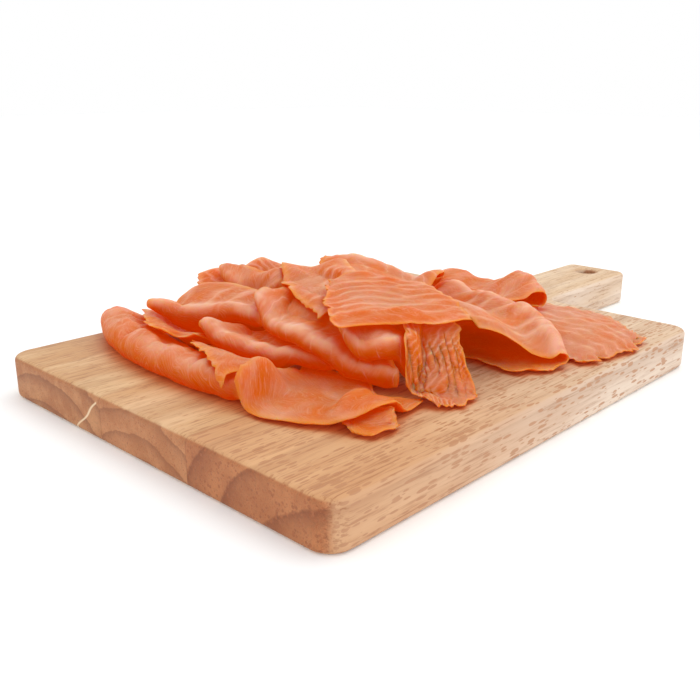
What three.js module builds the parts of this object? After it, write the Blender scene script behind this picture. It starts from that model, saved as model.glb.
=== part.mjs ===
// Smoked salmon slices, lying folded over each other on a paddle-shaped wooden board.
// Millimetres, +Z up. The origin is the middle of the board's outline, on the surface that the board
// stands on. +X runs along the grain towards the handle, and +Y runs across the board.
import * as THREE from 'three';

// ---------------------------------------------------------------- driving dimensions

const BODY_LENGTH = 250;
const BODY_WIDTH = 200;
const BOARD_THICK = 19;
const BODY_CORNER = 9.5;
const HANDLE_LENGTH = 95;
const HANDLE_WIDTH = 39;
const HANDLE_CORNER = 5.5;
const NECK_FILLET = 9;
const HOLE_RADIUS = 5.8;
const HOLE_FROM_HANDLE_END = 15;
const EDGE_ROUND = 2.4;

const SLICE_THICK = 2.2;
const RIM_SHARE = 0.38;        // a free edge is this share of the full thickness
const RIM_WIDTH = 7;           // and thickens over this width
const LAYER_GAP = 0.45;        // air between one layer and the next
const CLEARANCE = 0.15;         // least air that a finished slice keeps from the pile below it

const STEP = 9;                // spacing of the points along and across a slice
const FOLD_POINTS = 4;         // points round the bend of a fold
const CELL = 2;                // pitch of the height map of the pile
const SAMPLES = 6;             // samples across one quad when a slice is drawn into the map
const FIT_PASSES = 14;         // most passes that lift a slice clear of the pile
const TOLERANCE = 0.03;        // shortfall of that clearance that is left alone

const OVERALL_LENGTH = BODY_LENGTH + HANDLE_LENGTH;

// ---------------------------------------------------------------- the slices, lowest first

// Plan places are measured from the board's near left corner: x along the grain, y across.
// line    the fold, seen from above, or one long edge where the slice lies flat
// across  direction from that line over the slice, in degrees, at its start, middle and end
// under   width of the layer below the fold, at the same three places (none on a flat slice)
// over    width of the layer above the fold, or of the flat slice
// acrossOver  direction of the upper layer, where it is not that of the lower one
// bend    radius of the fold along the line
// settle  length over which the upper layer comes down behind the fold
// slack   how stiffly the slice bridges hollows below it
// rise    least height above the board of the upper layer: at the fold, and at its free edge
// tuck    how far the two ends of the upper layer stand up (+) or hang down (-)
// crown   how far the middle of a flat slice bulges up
// wave, cornerCut  how far its edges wander, and how far its corners are rounded off
// pleat, ridges    folds that run across the slice, and ridges that run along it
// alongDensity, acrossDensity  more points where pleats and ridges need them
const SLICES = [
  {
    name: 'slice_tail',
    line: [[162, 93], [156, 48], [160, 4]],
    across: [8, -2, -4],
    over: [66, 77, 46],
    slack: 5, wave: 2, cornerCut: 6, crown: 3.5, tuck: [3, 0], seed: 3,
  },
  {
    name: 'slice_back_low',
    line: [[98, 188], [122, 188], [154, 173], [182, 148], [203, 108]],
    across: [-76, -110, -149],
    under: [51, 71, 60],
    over: [42, 65, 55],
    bend: [2, 2.8, 3.8, 4, 4], settle: 12, slack: 10, seed: 5,
  },
  {
    name: 'slice_back_high',
    line: [[108, 182], [124, 180], [146, 164], [164, 140]],
    across: [-68, -101, -130],
    under: [30, 33, 31],
    over: [36, 44, 40],
    bend: [1.6, 2.2, 2.6, 2.4], settle: 8, slack: 8, seed: 8,
  },
  {
    name: 'slice_back_right',
    line: [[206, 110], [220, 91], [223, 74], [210, 58]],
    across: [163, 168, 160],
    under: [20, 32, 22],
    over: [28, 38, 32],
    bend: [1.6, 3.4, 5, 3.2], settle: 26, slack: 10, seed: 11,
    rise: [[6, 9, 12, 8], [11, 11, 11, 9]],
  },
  {
    name: 'slice_right_fold',
    line: [[179, 92], [182, 66], [174, 38], [152, 12]],
    across: [165, 160, 165],
    under: [33, 53, 24],
    acrossOver: [160, 147, 146],
    over: [36, 57, 38],
    bend: [4, 4.2, 4, 2.6], settle: 16, slack: 10, wave: 1.5, cornerCut: 3, seed: 12,
    rise: [[8, 10, 9, 4], [13, 17, 24, 21]], tuck: [0, -2],
  },
  {
    name: 'slice_left_roll',
    line: [[47, 199], [33, 170], [27, 138], [26.5, 104], [30, 76]],
    across: [-34, 8, 25],
    under: [26, 27, 24],
    over: [24, 24, 20],
    bend: [4.2, 4.8, 4.6, 4.2, 3.2], settle: 20, slack: 12, wave: 1.5, seed: 7,
    rise: [[5, 4, 2, 2], [7, 5, 4, 2]],
    ridges: { height: 1.4, count: 1.6 },
  },
  {
    name: 'slice_front_under',
    line: [[58, 43], [54, 34], [60, 28]],
    across: [-160, -144, -128],
    over: [17, 16, 11],
    slack: 4, wave: 1, cornerCut: 2, alongDensity: 2, seed: 21,
    rise: [[6, 6, 5], [0, 0, 0]],
    pleat: { depth: 1.5, count: 2 },
  },
  {
    name: 'slice_left_flap',
    line: [[50, 134], [35, 104], [24, 78]],
    across: [13, 9, 3],
    over: [20, 30, 34],
    slack: 5, wave: 2.5, cornerCut: 4, seed: 22,
  },
  {
    name: 'slice_left_tab',
    line: [[57, 180], [47, 161], [36, 143], [43, 134], [56, 128]],
    across: [0, 0, 4],
    over: [26, 38, 24],
    slack: 5, wave: 1.2, cornerCut: 2, seed: 23,
  },
  {
    name: 'slice_front',
    line: [[27, 78], [26, 62], [31, 47], [36, 37], [43, 30], [57, 27], [76, 28]],
    across: [14, 22, 55],
    over: [59, 44, 6],
    slack: 5, wave: 1.8, cornerCut: 2, seed: 6,
  },
  {
    name: 'slice_back_left',
    line: [[103, 199], [113, 193], [118, 186], [126, 182], [129, 172], [129, 158], [132, 148]],
    across: [-125, -130, -135],
    over: [22, 24, 26],
    slack: 6, wave: 1.2, cornerCut: 2, seed: 13,
    rise: [[19, 21, 18, 25, 26, 25, 24], [10, 12, 15, 17]],
  },
  {
    name: 'slice_mid_fold',
    line: [[54, 133], [53, 119], [55, 105], [62, 91], [75, 70]],
    across: [20, 15, 29],
    under: [24, 20, 12],
    over: [30, 28, 14],
    bend: [1.4, 2.2, 2.6, 2.4, 1.8], settle: 30, slack: 6, seed: 9,
    rise: [[2, 4, 6, 5], [5, 8, 10, 10]],
  },
  {
    name: 'slice_left_fold',
    line: [[54, 172], [60, 162], [68, 150], [75, 136], [79, 120]],
    across: [0, 2, 4],
    under: [30, 22, 15],
    over: [32, 25, 20],
    bend: [1.6, 2.4, 3, 3, 2.4], settle: 30, slack: 8, cornerCut: 3, seed: 10,
    rise: [[6, 12, 14, 12], [22, 22, 20, 17]],
  },
  {
    name: 'slice_back_band',
    line: [[106, 184], [102, 171], [100, 158], [103, 147], [109, 139]],
    across: [5, 20, 25],
    under: [8, 10, 10],
    over: [12, 17, 20],
    bend: [0.8, 1.6, 2.2, 2.4, 2], settle: 30, slack: 6, seed: 18,
    rise: [[9, 11, 13, 15], [14, 18, 22, 23]],
  },
  {
    name: 'slice_back_mid',
    line: [[152, 157], [163, 147], [172, 131], [177, 113], [179, 97]],
    across: [-131, -142, -159],
    under: [23, 29, 22],
    over: [45, 56, 45],
    bend: [2.2, 2.6, 2.5, 2, 1.2], settle: 12, slack: 40, seed: 14,
    rise: [[25, 24, 18, 15], [26, 26, 22, 20]],
  },
  {
    name: 'slice_drape',
    line: [[81, 127], [72, 108], [67, 90], [67, 76], [70, 63], [73, 53], [78, 42]],
    across: [5, 14, 58],
    under: [16, 20, 12],
    over: [24, 26, 20],
    bend: [1.6, 2.2, 2.4, 2.4, 2.5, 2.8, 2.6], settle: 30, slack: 8, cornerCut: 3, seed: 15,
    rise: [[14, 13, 10, 8, 7, 7, 8], [20, 22, 21, 19, 18, 17]],
  },
  {
    name: 'slice_top_left',
    line: [[119, 152], [100, 130], [89, 112], [84, 97], [80, 84]],
    across: [-28, -22, 15],
    over: [34, 36, 36],
    slack: 14, wave: 1.5, cornerCut: 2, seed: 24,
    rise: [[23, 22, 21, 21], [25, 25, 25, 25]],
  },
  {
    name: 'slice_lobe',
    line: [[75, 70], [71, 57], [75, 48], [84, 41]],
    across: [22, 24, 28],
    under: [16, 20, 12],
    over: [20, 22, 16],
    bend: [1.6, 2.2, 2.4, 2.2], settle: 30, slack: 5, cornerCut: 2, seed: 16,
    rise: [[13, 13, 14, 15], [21, 22, 22, 21]],
  },
  {
    name: 'slice_frill',
    line: [[95, 56], [102, 47], [108, 39]],
    across: [-133, -131, -119],
    over: [27, 34, 24],
    slack: 3, wave: 1, cornerCut: 0, alongDensity: 6.5, acrossDensity: 1.3, seed: 17,
    rise: [[21, 24, 24], [3, 0, 1]],
    pleat: { depth: 1.5, count: 7 },
  },
  {
    name: 'slice_top',
    line: [[59, 60], [69, 56], [85, 46], [96, 37], [112, 30]],
    across: [46, 52, 58],
    over: [70, 73, 59],
    slack: 14, wave: 1.2, cornerCut: 2, acrossDensity: 4, seed: 19,
    rise: [[26, 27, 26, 26], [27, 29, 28, 27]], tuck: [2.5, 0],
    ridges: { height: 0.9, count: 8 },
  },
];

const DEFAULT_WAVE = 2;        // how far a free edge wanders
const DEFAULT_CORNER_CUT = 8;  // how far the corners of a slice are rounded off
const CORNER_POWER = 2.5;
const END_SHARE = 0.22;        // the two end zones of a slice, as shares of its length
const LOWER_WAVE_PITCH = 14;   // pitch of the wandering of the lower and of the upper free edge
const UPPER_WAVE_PITCH = 11;
const END_WAVE_PITCH = 9;
const MOST_BEND_SHARE = 0.45;  // most of a layer's width that one fold may take
const STEEPEST = 2;            // steepest slope that the thickness of a slice is corrected for
const CROWN_PLACE = 0.55;      // top of a crowned slice, and half the width of its crown
const CROWN_WIDTH = 0.35;
const TUCK_SHARE = 0.25;
const PLEAT_START = 1.6;       // pleats and ridges reach full depth this fast from the edge
const RIDGE_START = 8;
const RIDGE_WANDER = 0.35;

// Three sines of different pitch make an edge uneven: pitch, height, and shift with the seed.
const EDGE_WAVES = [[1, 1, 1.7], [2.3, 0.6, 3.1], [4.7, 0.35, 5.3]];

// ---------------------------------------------------------------- small helpers

const clamp = THREE.MathUtils.clamp;

function smooth(t) {
  const c = clamp(t, 0, 1);
  return c * c * (3 - 2 * c);
}

// A smooth curve through equally spaced values, t from 0 to 1.
function curve(values, t) {
  const last = values.length - 1;
  const place = clamp(t, 0, 1) * last;
  const i = Math.min(Math.floor(place), last - 1);
  const f = place - i;
  const b = values[i];
  const c = values[i + 1];
  const a = i > 0 ? values[i - 1] : 2 * b - c;
  const d = i + 2 <= last ? values[i + 2] : 2 * c - b;
  const linear = (c - a) * f;
  const square = (2 * a - 5 * b + 4 * c - d) * f * f;
  const cube = (3 * b - a - 3 * c + d) * f * f * f;
  return 0.5 * (2 * b + linear + square + cube);
}

// An uneven wave between about -1 and 1, for edges that no knife cuts straight.
function uneven(x, seed) {
  let wave = 0;
  let heights = 0;
  EDGE_WAVES.forEach(([pitch, height, shift]) => {
    wave += height * Math.sin(x * pitch + seed * shift);
    heights += height;
  });
  return wave / heights;
}

// ---------------------------------------------------------------- the height map of the pile

const MAP = { x: -6, y: -10, columns: 135, rows: 112 };

class HeightMap {
  constructor(source) {
    const size = MAP.columns * MAP.rows;
    this.z = source instanceof HeightMap ? Float64Array.from(source.z) : new Float64Array(size).fill(source);
  }

  cellAt(x, y) {
    const column = clamp(Math.round((x - MAP.x) / CELL), 0, MAP.columns - 1);
    const row = clamp(Math.round((y - MAP.y) / CELL), 0, MAP.rows - 1);
    return row * MAP.columns + column;
  }

  raise(x, y, z) {
    const cell = this.cellAt(x, y);
    this.z[cell] = Math.max(this.z[cell], z);
  }

  heightAt(x, y) {
    const u = clamp((x - MAP.x) / CELL, 0, MAP.columns - 1.001);
    const v = clamp((y - MAP.y) / CELL, 0, MAP.rows - 1.001);
    const i = Math.floor(u);
    const j = Math.floor(v);
    const f = u - i;
    const g = v - j;
    const cell = j * MAP.columns + i;
    const near = this.z[cell] * (1 - f) + this.z[cell + 1] * f;
    const far = this.z[cell + MAP.columns] * (1 - f) + this.z[cell + MAP.columns + 1] * f;
    return near * (1 - g) + far * g;
  }

  slopeAt(x, y) {
    const alongX = this.heightAt(x + CELL, y) - this.heightAt(x - CELL, y);
    const alongY = this.heightAt(x, y + CELL) - this.heightAt(x, y - CELL);
    return Math.hypot(alongX, alongY) / (2 * CELL);
  }

  // The highest of each cell and the eight round it.
  widened() {
    const wide = new HeightMap(this);
    for (let row = 0; row < MAP.rows; row += 1) {
      for (let column = 0; column < MAP.columns; column += 1) {
        let highest = -Infinity;
        for (let j = Math.max(row - 1, 0); j <= Math.min(row + 1, MAP.rows - 1); j += 1) {
          for (let i = Math.max(column - 1, 0); i <= Math.min(column + 1, MAP.columns - 1); i += 1) {
            highest = Math.max(highest, this.z[j * MAP.columns + i]);
          }
        }
        wide.z[row * MAP.columns + column] = highest;
      }
    }
    return wide;
  }

  // The surface of a limp sheet laid over the map: it rests on what is below and bridges the hollows.
  draped(slack) {
    const floor = this.widened();
    let sheet = new HeightMap(floor);
    for (let pass = 0; pass < slack; pass += 1) {
      const next = new HeightMap(sheet);
      for (let row = 1; row < MAP.rows - 1; row += 1) {
        for (let column = 1; column < MAP.columns - 1; column += 1) {
          const cell = row * MAP.columns + column;
          const sides = sheet.z[cell - 1] + sheet.z[cell + 1];
          const ends = sheet.z[cell - MAP.columns] + sheet.z[cell + MAP.columns];
          next.z[cell] = Math.max(floor.z[cell], (sides + ends) / 4);
        }
      }
      sheet = next;
    }
    return sheet;
  }

  plus(other, extra) {
    const sum = new HeightMap(this);
    for (let cell = 0; cell < sum.z.length; cell += 1) {
      sum.z[cell] += other.z[cell] + extra;
    }
    return sum;
  }
}

// ---------------------------------------------------------------- laying one slice

// The plan lines that bound the layers: lower free edge, fold and upper free edge, or the two edges
// of a flat slice. Each is a function of t, the share of the slice's length.
function planLines(slice) {
  const line = (t) => {
    const x = curve(slice.line.map((point) => point[0]), t);
    const y = curve(slice.line.map((point) => point[1]), t);
    return new THREE.Vector2(x, y);
  };
  const edge = (widths, directions) => (t) => {
    const angle = THREE.MathUtils.degToRad(curve(directions, t));
    const width = curve(widths, t);
    return line(t).add(new THREE.Vector2(Math.cos(angle) * width, Math.sin(angle) * width));
  };
  const upper = edge(slice.over, slice.acrossOver ?? slice.across);
  return slice.under ? [edge(slice.under, slice.across), line, upper] : [line, upper];
}

function lengthOf(line) {
  const parts = 40;
  let length = 0;
  for (let i = 0; i < parts; i += 1) {
    length += line(i / parts).distanceTo(line((i + 1) / parts));
  }
  return length;
}

// Plan points of one layer, as rows along the slice and columns across it. Free edges wander a
// little, and the two ends are rounded off.
function layerPlan(slice, lines, layer, rows, length) {
  const last = lines.length - 2;
  const wave = slice.wave ?? DEFAULT_WAVE;
  const cornerCut = slice.cornerCut ?? DEFAULT_CORNER_CUT;
  const bendAt = (index, t) => (index === 1 && slice.under ? curve(slice.bend, t) : 0);
  const middleWidth = lines[layer](0.5).distanceTo(lines[layer + 1](0.5));
  const columns = Math.max(3, Math.round((middleWidth / STEP) * (slice.acrossDensity ?? 1)) + 1);
  const plan = [];
  for (let row = 0; row < rows; row += 1) {
    const t = row / (rows - 1);
    const from = lines[layer](t);
    const to = lines[layer + 1](t);
    const width = from.distanceTo(to);
    const across = to.clone().sub(from).divideScalar(width);
    const mostBend = width * MOST_BEND_SHARE;
    const start = from.addScaledVector(across, Math.min(bendAt(layer, t), mostBend));
    const end = to.addScaledVector(across, -Math.min(bendAt(layer + 1, t), mostBend));
    const points = [];
    for (let column = 0; column < columns; column += 1) {
      const u = column / (columns - 1);
      const point = start.clone().lerp(end, u);
      if (layer === 0) {
        const wander = uneven((t * length) / LOWER_WAVE_PITCH, slice.seed) * wave;
        point.addScaledVector(across, -wander * (1 - u) ** 3);
      }
      if (layer === last) {
        const wander = uneven((t * length) / UPPER_WAVE_PITCH, slice.seed + 5) * wave;
        point.addScaledVector(across, wander * u ** 3);
      }
      points.push(point);
    }
    plan.push({ t, points, across, run: start.distanceTo(end) });
  }
  const along = plan.map(({ points }, row) => points.map((point, column) => {
    const before = plan[Math.max(row - 1, 0)].points[column];
    const after = plan[Math.min(row + 1, rows - 1)].points[column];
    return after.clone().sub(before).normalize();
  }));
  plan.forEach(({ t, points }, row) => points.forEach((point, column) => {
    const share = (layer + column / (columns - 1)) / (lines.length - 1);
    const cut = cornerCut * Math.abs(2 * share - 1) ** CORNER_POWER;
    const reach = uneven(share * END_WAVE_PITCH, slice.seed + 9) * wave - cut;
    const nearStart = clamp(1 - t / END_SHARE, 0, 1) ** 2;
    const nearEnd = clamp(1 - (1 - t) / END_SHARE, 0, 1) ** 2;
    point.addScaledVector(along[row][column], reach * (nearEnd - nearStart));
  }));
  return plan;
}

// Heights of one layer's points on the ground below it.
function raiseLayer(slice, plan, layer, last, ground) {
  const surface = ground.draped(slice.slack);
  const points = plan.map(({ t, points: row, across, run }) => row.map((point, column) => {
    const u = column / (row.length - 1);
    const slope = Math.min(surface.slopeAt(point.x, point.y), STEEPEST);
    let z = surface.heightAt(point.x, point.y) + (SLICE_THICK / 2) * Math.hypot(1, slope);
    if (slice.rise && layer === last) {
      const [low, high] = slice.rise.map((heights) => BOARD_THICK + curve(heights, t));
      z = Math.max(z, low + (high - low) * smooth(u));
    }
    if (layer > 0) {
      const opening = Math.max(2 * curve(slice.bend, t) - SLICE_THICK - LAYER_GAP, 0);
      z += opening * (1 - smooth((u * run) / slice.settle));
    }
    if (slice.crown) {
      const overWidth = Math.exp(-(((u - CROWN_PLACE) / CROWN_WIDTH) ** 2));
      z += slice.crown * overWidth * Math.sin(Math.PI * t);
    }
    if (slice.tuck && layer === last) {
      const nearStart = clamp(1 - t / TUCK_SHARE, 0, 1) ** 2;
      const nearEnd = clamp(1 - (1 - t) / TUCK_SHARE, 0, 1) ** 2;
      z += slice.tuck[0] * nearStart + slice.tuck[1] * nearEnd;
    }
    if (slice.ridges) {
      const phase = slice.ridges.count * u + RIDGE_WANDER * uneven(t * 3, slice.seed);
      const fade = smooth(u * RIDGE_START) * smooth((1 - u) * RIDGE_START);
      z += slice.ridges.height * fade * (1 + Math.sin(2 * Math.PI * phase)) / 2;
    }
    const raised = new THREE.Vector3(point.x, point.y, z);
    if (slice.pleat) {
      const out = slice.pleat.depth * (1 - Math.cos(2 * Math.PI * slice.pleat.count * t)) / 2;
      raised.x += across.x * out * smooth(u * PLEAT_START);
      raised.y += across.y * out * smooth(u * PLEAT_START);
    }
    return raised;
  }));
  return points;
}

// The points round a fold, between the end of one layer and the start of the next.
function bendPoints(slice, lines, lower, upper, row, t) {
  const fold = lines[1](t);
  const fromBelow = lines[0](t).sub(fold).normalize();
  const toAbove = lines[2](t).sub(fold).normalize();
  const low = lower[row][lower[row].length - 1];
  const high = upper[row][0];
  const radius = curve(slice.bend, t);
  const points = [];
  for (let i = 1; i <= FOLD_POINTS; i += 1) {
    const share = i / (FOLD_POINTS + 1);
    const angle = Math.PI * (share - 0.5);
    const inward = fromBelow.clone().lerp(toAbove, share).normalize();
    const point = low.clone().lerp(high, share);
    point.x -= inward.x * radius * Math.cos(angle);
    point.y -= inward.y * radius * Math.cos(angle);
    point.z = (low.z + high.z) / 2 + ((high.z - low.z) / 2) * Math.sin(angle);
    points.push(point);
  }
  return points;
}

// Middle surface of a slice on the pile, each point with the layer that it belongs to.
function middleSurface(slice, pile, lifts) {
  const lines = planLines(slice);
  const last = lines.length - 2;
  const length = lengthOf(lines[Math.min(1, lines.length - 1)]);
  const rows = Math.max(6, Math.round((length / STEP) * (slice.alongDensity ?? 1)) + 1);
  const ground = new HeightMap(pile);
  const grounds = [];
  let grid = Array.from({ length: rows }, () => []);
  let owners = [];
  let previous = null;
  for (let layer = 0; layer <= last; layer += 1) {
    grounds.push(new HeightMap(ground));
    const plan = layerPlan(slice, lines, layer, rows, length);
    const points = raiseLayer(slice, plan, layer, last, ground.plus(lifts[layer], LAYER_GAP));
    if (previous) {
      const lower = previous;
      grid = grid.map((row, i) => row.concat(bendPoints(slice, lines, lower, points, i, i / (rows - 1))));
      owners = owners.concat(Array(FOLD_POINTS).fill(-1));
    }
    grid = grid.map((row, i) => row.concat(points[i]));
    owners = owners.concat(points[0].map(() => layer));
    drawInto(ground, points, SLICE_THICK / 2);
    previous = points;
  }
  return { grid, owners, grounds };
}

// Calls visit with sample points spread over the two triangles of each quad of a grid.
function sampleGrid(grid, visit) {
  const point = new THREE.Vector3();
  for (let row = 0; row < grid.length - 1; row += 1) {
    for (let column = 0; column < grid[0].length - 1; column += 1) {
      const near = grid[row][column];
      const far = grid[row + 1][column + 1];
      for (let i = 0; i <= SAMPLES; i += 1) {
        for (let j = 0; j <= SAMPLES; j += 1) {
          const side = i > j ? grid[row + 1][column] : grid[row][column + 1];
          const toFar = Math.min(i, j) / SAMPLES;
          const toSide = Math.abs(i - j) / SAMPLES;
          point.copy(near).multiplyScalar(1 - toFar - toSide);
          point.addScaledVector(far, toFar).addScaledVector(side, toSide);
          visit(point, row, column);
        }
      }
    }
  }
}

function drawInto(map, grid, extra) {
  sampleGrid(grid, (point) => map.raise(point.x, point.y, point.z + extra));
}

// The two faces of a slice, from its middle surface: thinner towards every free edge.
function faces(grid) {
  const rows = grid.length;
  const columns = grid[0].length;
  const distance = (a, b) => grid[a[0]][a[1]].distanceTo(grid[b[0]][b[1]]);
  const acrossRun = grid.map((row, i) => {
    let run = 0;
    return row.map((point, j) => {
      run += j > 0 ? distance([i, j], [i, j - 1]) : 0;
      return run;
    });
  });
  const alongRun = grid.map((row) => row.map(() => 0));
  for (let j = 0; j < columns; j += 1) {
    for (let i = 1; i < rows; i += 1) {
      alongRun[i][j] = alongRun[i - 1][j] + distance([i, j], [i - 1, j]);
    }
  }
  const outer = [];
  const inner = [];
  for (let i = 0; i < rows; i += 1) {
    outer.push([]);
    inner.push([]);
    for (let j = 0; j < columns; j += 1) {
      const along = grid[Math.min(i + 1, rows - 1)][j].clone().sub(grid[Math.max(i - 1, 0)][j]);
      const across = grid[i][Math.min(j + 1, columns - 1)].clone().sub(grid[i][Math.max(j - 1, 0)]);
      const normal = along.cross(across).normalize();
      const sideGap = Math.min(acrossRun[i][j], acrossRun[i][columns - 1] - acrossRun[i][j]);
      const endGap = Math.min(alongRun[i][j], alongRun[rows - 1][j] - alongRun[i][j]);
      const share = RIM_SHARE + (1 - RIM_SHARE) * smooth(Math.min(sideGap, endGap) / RIM_WIDTH);
      const half = (SLICE_THICK * share) / 2;
      outer[i].push(grid[i][j].clone().addScaledVector(normal, half));
      inner[i].push(grid[i][j].clone().addScaledVector(normal, -half));
    }
  }
  return [outer, inner];
}

// Notes where a slice comes too close to what it lies on. Returns false once it is clear.
function noteClashes({ owners, grounds }, sides, lifts) {
  const notes = lifts.map(() => new HeightMap(0));
  let clash = false;
  sides.forEach((side) => sampleGrid(side, (point, row, column) => {
    const layers = [owners[column], owners[column + 1]];
    const layer = Math.max(...layers) < 0 ? 0 : Math.max(...layers);
    const atFold = Math.min(...layers) < 0;
    const below = grounds[atFold ? 0 : layer];
    const short = below.z[below.cellAt(point.x, point.y)] + CLEARANCE - point.z;
    if (short > TOLERANCE) {
      clash = true;
      notes.forEach((note, index) => {
        if (index === layer || atFold) {
          note.raise(point.x, point.y, short);
        }
      });
    }
  }));
  notes.forEach((note, index) => {
    const spread = note.widened().widened();
    lifts[index].z.forEach((lift, cell) => {
      lifts[index].z[cell] = lift + spread.z[cell];
    });
  });
  return clash;
}

function laySlice(slice, pile) {
  const lifts = (slice.under ? [0, 1] : [0]).map(() => new HeightMap(0));
  let sides = [];
  for (let pass = 0; pass < FIT_PASSES; pass += 1) {
    const middle = middleSurface(slice, pile, lifts);
    sides = faces(middle.grid);
    if (!noteClashes(middle, sides, lifts)) {
      break;
    }
  }
  sides.forEach((side) => drawInto(pile, side, 0));
  return sides;
}

// ---------------------------------------------------------------- solids

// One closed body from the two faces of a slice, with its rim.
function closedSheet([outer, inner]) {
  const rows = outer.length;
  const columns = outer[0].length;
  const vertices = [...outer.flat(), ...inner.flat()];
  const back = rows * columns;
  const at = (row, column) => row * columns + column;
  const index = [];
  for (let row = 0; row < rows - 1; row += 1) {
    for (let column = 0; column < columns - 1; column += 1) {
      const [a, b] = [at(row, column), at(row + 1, column)];
      const [c, d] = [at(row + 1, column + 1), at(row, column + 1)];
      index.push(a, b, c, a, c, d);
      index.push(a + back, c + back, b + back, a + back, d + back, c + back);
    }
  }
  const rim = [];
  for (let column = 0; column < columns - 1; column += 1) rim.push(at(0, column));
  for (let row = 0; row < rows - 1; row += 1) rim.push(at(row, columns - 1));
  for (let column = columns - 1; column > 0; column -= 1) rim.push(at(rows - 1, column));
  for (let row = rows - 1; row > 0; row -= 1) rim.push(at(row, 0));
  rim.forEach((here, i) => {
    const next = rim[(i + 1) % rim.length];
    index.push(here, next, next + back, here, next + back, here + back);
  });
  const volume = signedVolume(vertices, index);
  if (volume < 0) {
    index.reverse();
  }
  const geometry = new THREE.BufferGeometry().setFromPoints(vertices);
  geometry.setIndex(index);
  geometry.computeVertexNormals();
  return geometry;
}

function signedVolume(vertices, index) {
  let volume = 0;
  for (let i = 0; i < index.length; i += 3) {
    const [a, b, c] = [vertices[index[i]], vertices[index[i + 1]], vertices[index[i + 2]]];
    volume += a.dot(b.clone().cross(c)) / 6;
  }
  return volume;
}

// Outline of the board, from above: the body with round corners, and the handle on its far end.
function boardOutline() {
  const low = (BODY_WIDTH - HANDLE_WIDTH) / 2;
  const high = low + HANDLE_WIDTH;
  const shape = new THREE.Shape();
  shape.moveTo(BODY_CORNER, 0);
  shape.absarc(BODY_LENGTH - BODY_CORNER, BODY_CORNER, BODY_CORNER, -Math.PI / 2, 0, false);
  shape.absarc(BODY_LENGTH + NECK_FILLET, low - NECK_FILLET, NECK_FILLET, Math.PI, Math.PI / 2, true);
  shape.absarc(OVERALL_LENGTH - HANDLE_CORNER, low + HANDLE_CORNER, HANDLE_CORNER, -Math.PI / 2, 0, false);
  shape.absarc(OVERALL_LENGTH - HANDLE_CORNER, high - HANDLE_CORNER, HANDLE_CORNER, 0, Math.PI / 2, false);
  shape.absarc(BODY_LENGTH + NECK_FILLET, high + NECK_FILLET, NECK_FILLET, -Math.PI / 2, -Math.PI, true);
  shape.absarc(BODY_LENGTH - BODY_CORNER, BODY_WIDTH - BODY_CORNER, BODY_CORNER, 0, Math.PI / 2, false);
  shape.absarc(BODY_CORNER, BODY_WIDTH - BODY_CORNER, BODY_CORNER, Math.PI / 2, Math.PI, false);
  shape.absarc(BODY_CORNER, BODY_CORNER, BODY_CORNER, Math.PI, 1.5 * Math.PI, false);
  const hole = new THREE.Path();
  hole.absarc(OVERALL_LENGTH - HOLE_FROM_HANDLE_END, BODY_WIDTH / 2, HOLE_RADIUS, 0, 2 * Math.PI, true);
  shape.holes.push(hole);
  return shape;
}

function boardGeometry() {
  const geometry = new THREE.ExtrudeGeometry(boardOutline(), {
    depth: BOARD_THICK - 2 * EDGE_ROUND,
    bevelThickness: EDGE_ROUND,
    bevelSize: EDGE_ROUND,
    bevelOffset: -EDGE_ROUND,
    bevelSegments: 2,
    curveSegments: 5,
  });
  geometry.translate(0, 0, EDGE_ROUND);
  return geometry;
}

// ---------------------------------------------------------------- the whole

const WOOD = { color: 0xdcb98a, roughness: 0.6, metalness: 0 };
const SALMON = { color: 0xe8753f, roughness: 0.35, metalness: 0 };

const part = new THREE.Group();
part.position.set(-OVERALL_LENGTH / 2, -BODY_WIDTH / 2, 0);

const board = new THREE.Mesh(boardGeometry(), new THREE.MeshStandardMaterial(WOOD));
board.name = 'board';
part.add(board);

const pile = new HeightMap(BOARD_THICK);
SLICES.forEach((slice) => {
  const material = new THREE.MeshStandardMaterial(SALMON);
  const mesh = new THREE.Mesh(closedSheet(laySlice(slice, pile)), material);
  mesh.name = slice.name;
  part.add(mesh);
});

export default part;
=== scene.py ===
# %% [markdown]
# # Smoked salmon slices on a serving board
# The object is a loose pile of thin cold-smoked salmon slices on a paddle-shaped board of pale hardwood.
# Two things make it look right: slices that lie on each other as limp sheets do, and flesh that light
# goes into. So the pile is laid by rules, one slice at a time, and the flesh scatters light below its
# surface. The imported model is loaded first. It gives the size of the board.

import math

import bpy
import numpy as np
from mathutils import Matrix, Vector
from mathutils.geometry import tessellate_polygon


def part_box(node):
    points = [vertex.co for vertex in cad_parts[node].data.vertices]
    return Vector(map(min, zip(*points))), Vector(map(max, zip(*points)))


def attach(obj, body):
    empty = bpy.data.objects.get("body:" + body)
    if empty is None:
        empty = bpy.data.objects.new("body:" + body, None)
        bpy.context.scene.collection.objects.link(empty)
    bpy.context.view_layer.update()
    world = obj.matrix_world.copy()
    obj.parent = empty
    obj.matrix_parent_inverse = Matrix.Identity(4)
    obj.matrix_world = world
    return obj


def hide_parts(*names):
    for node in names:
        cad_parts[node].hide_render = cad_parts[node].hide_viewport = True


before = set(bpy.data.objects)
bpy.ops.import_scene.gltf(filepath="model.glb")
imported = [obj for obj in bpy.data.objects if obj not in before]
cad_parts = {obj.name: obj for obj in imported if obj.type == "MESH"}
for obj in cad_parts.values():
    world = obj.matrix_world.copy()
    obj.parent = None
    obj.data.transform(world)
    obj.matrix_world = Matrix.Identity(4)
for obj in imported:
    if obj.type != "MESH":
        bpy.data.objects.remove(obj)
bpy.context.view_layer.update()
board_low, board_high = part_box("board")
print("board, mm:", [round(1000 * side) for side in board_high - board_low])

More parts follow.
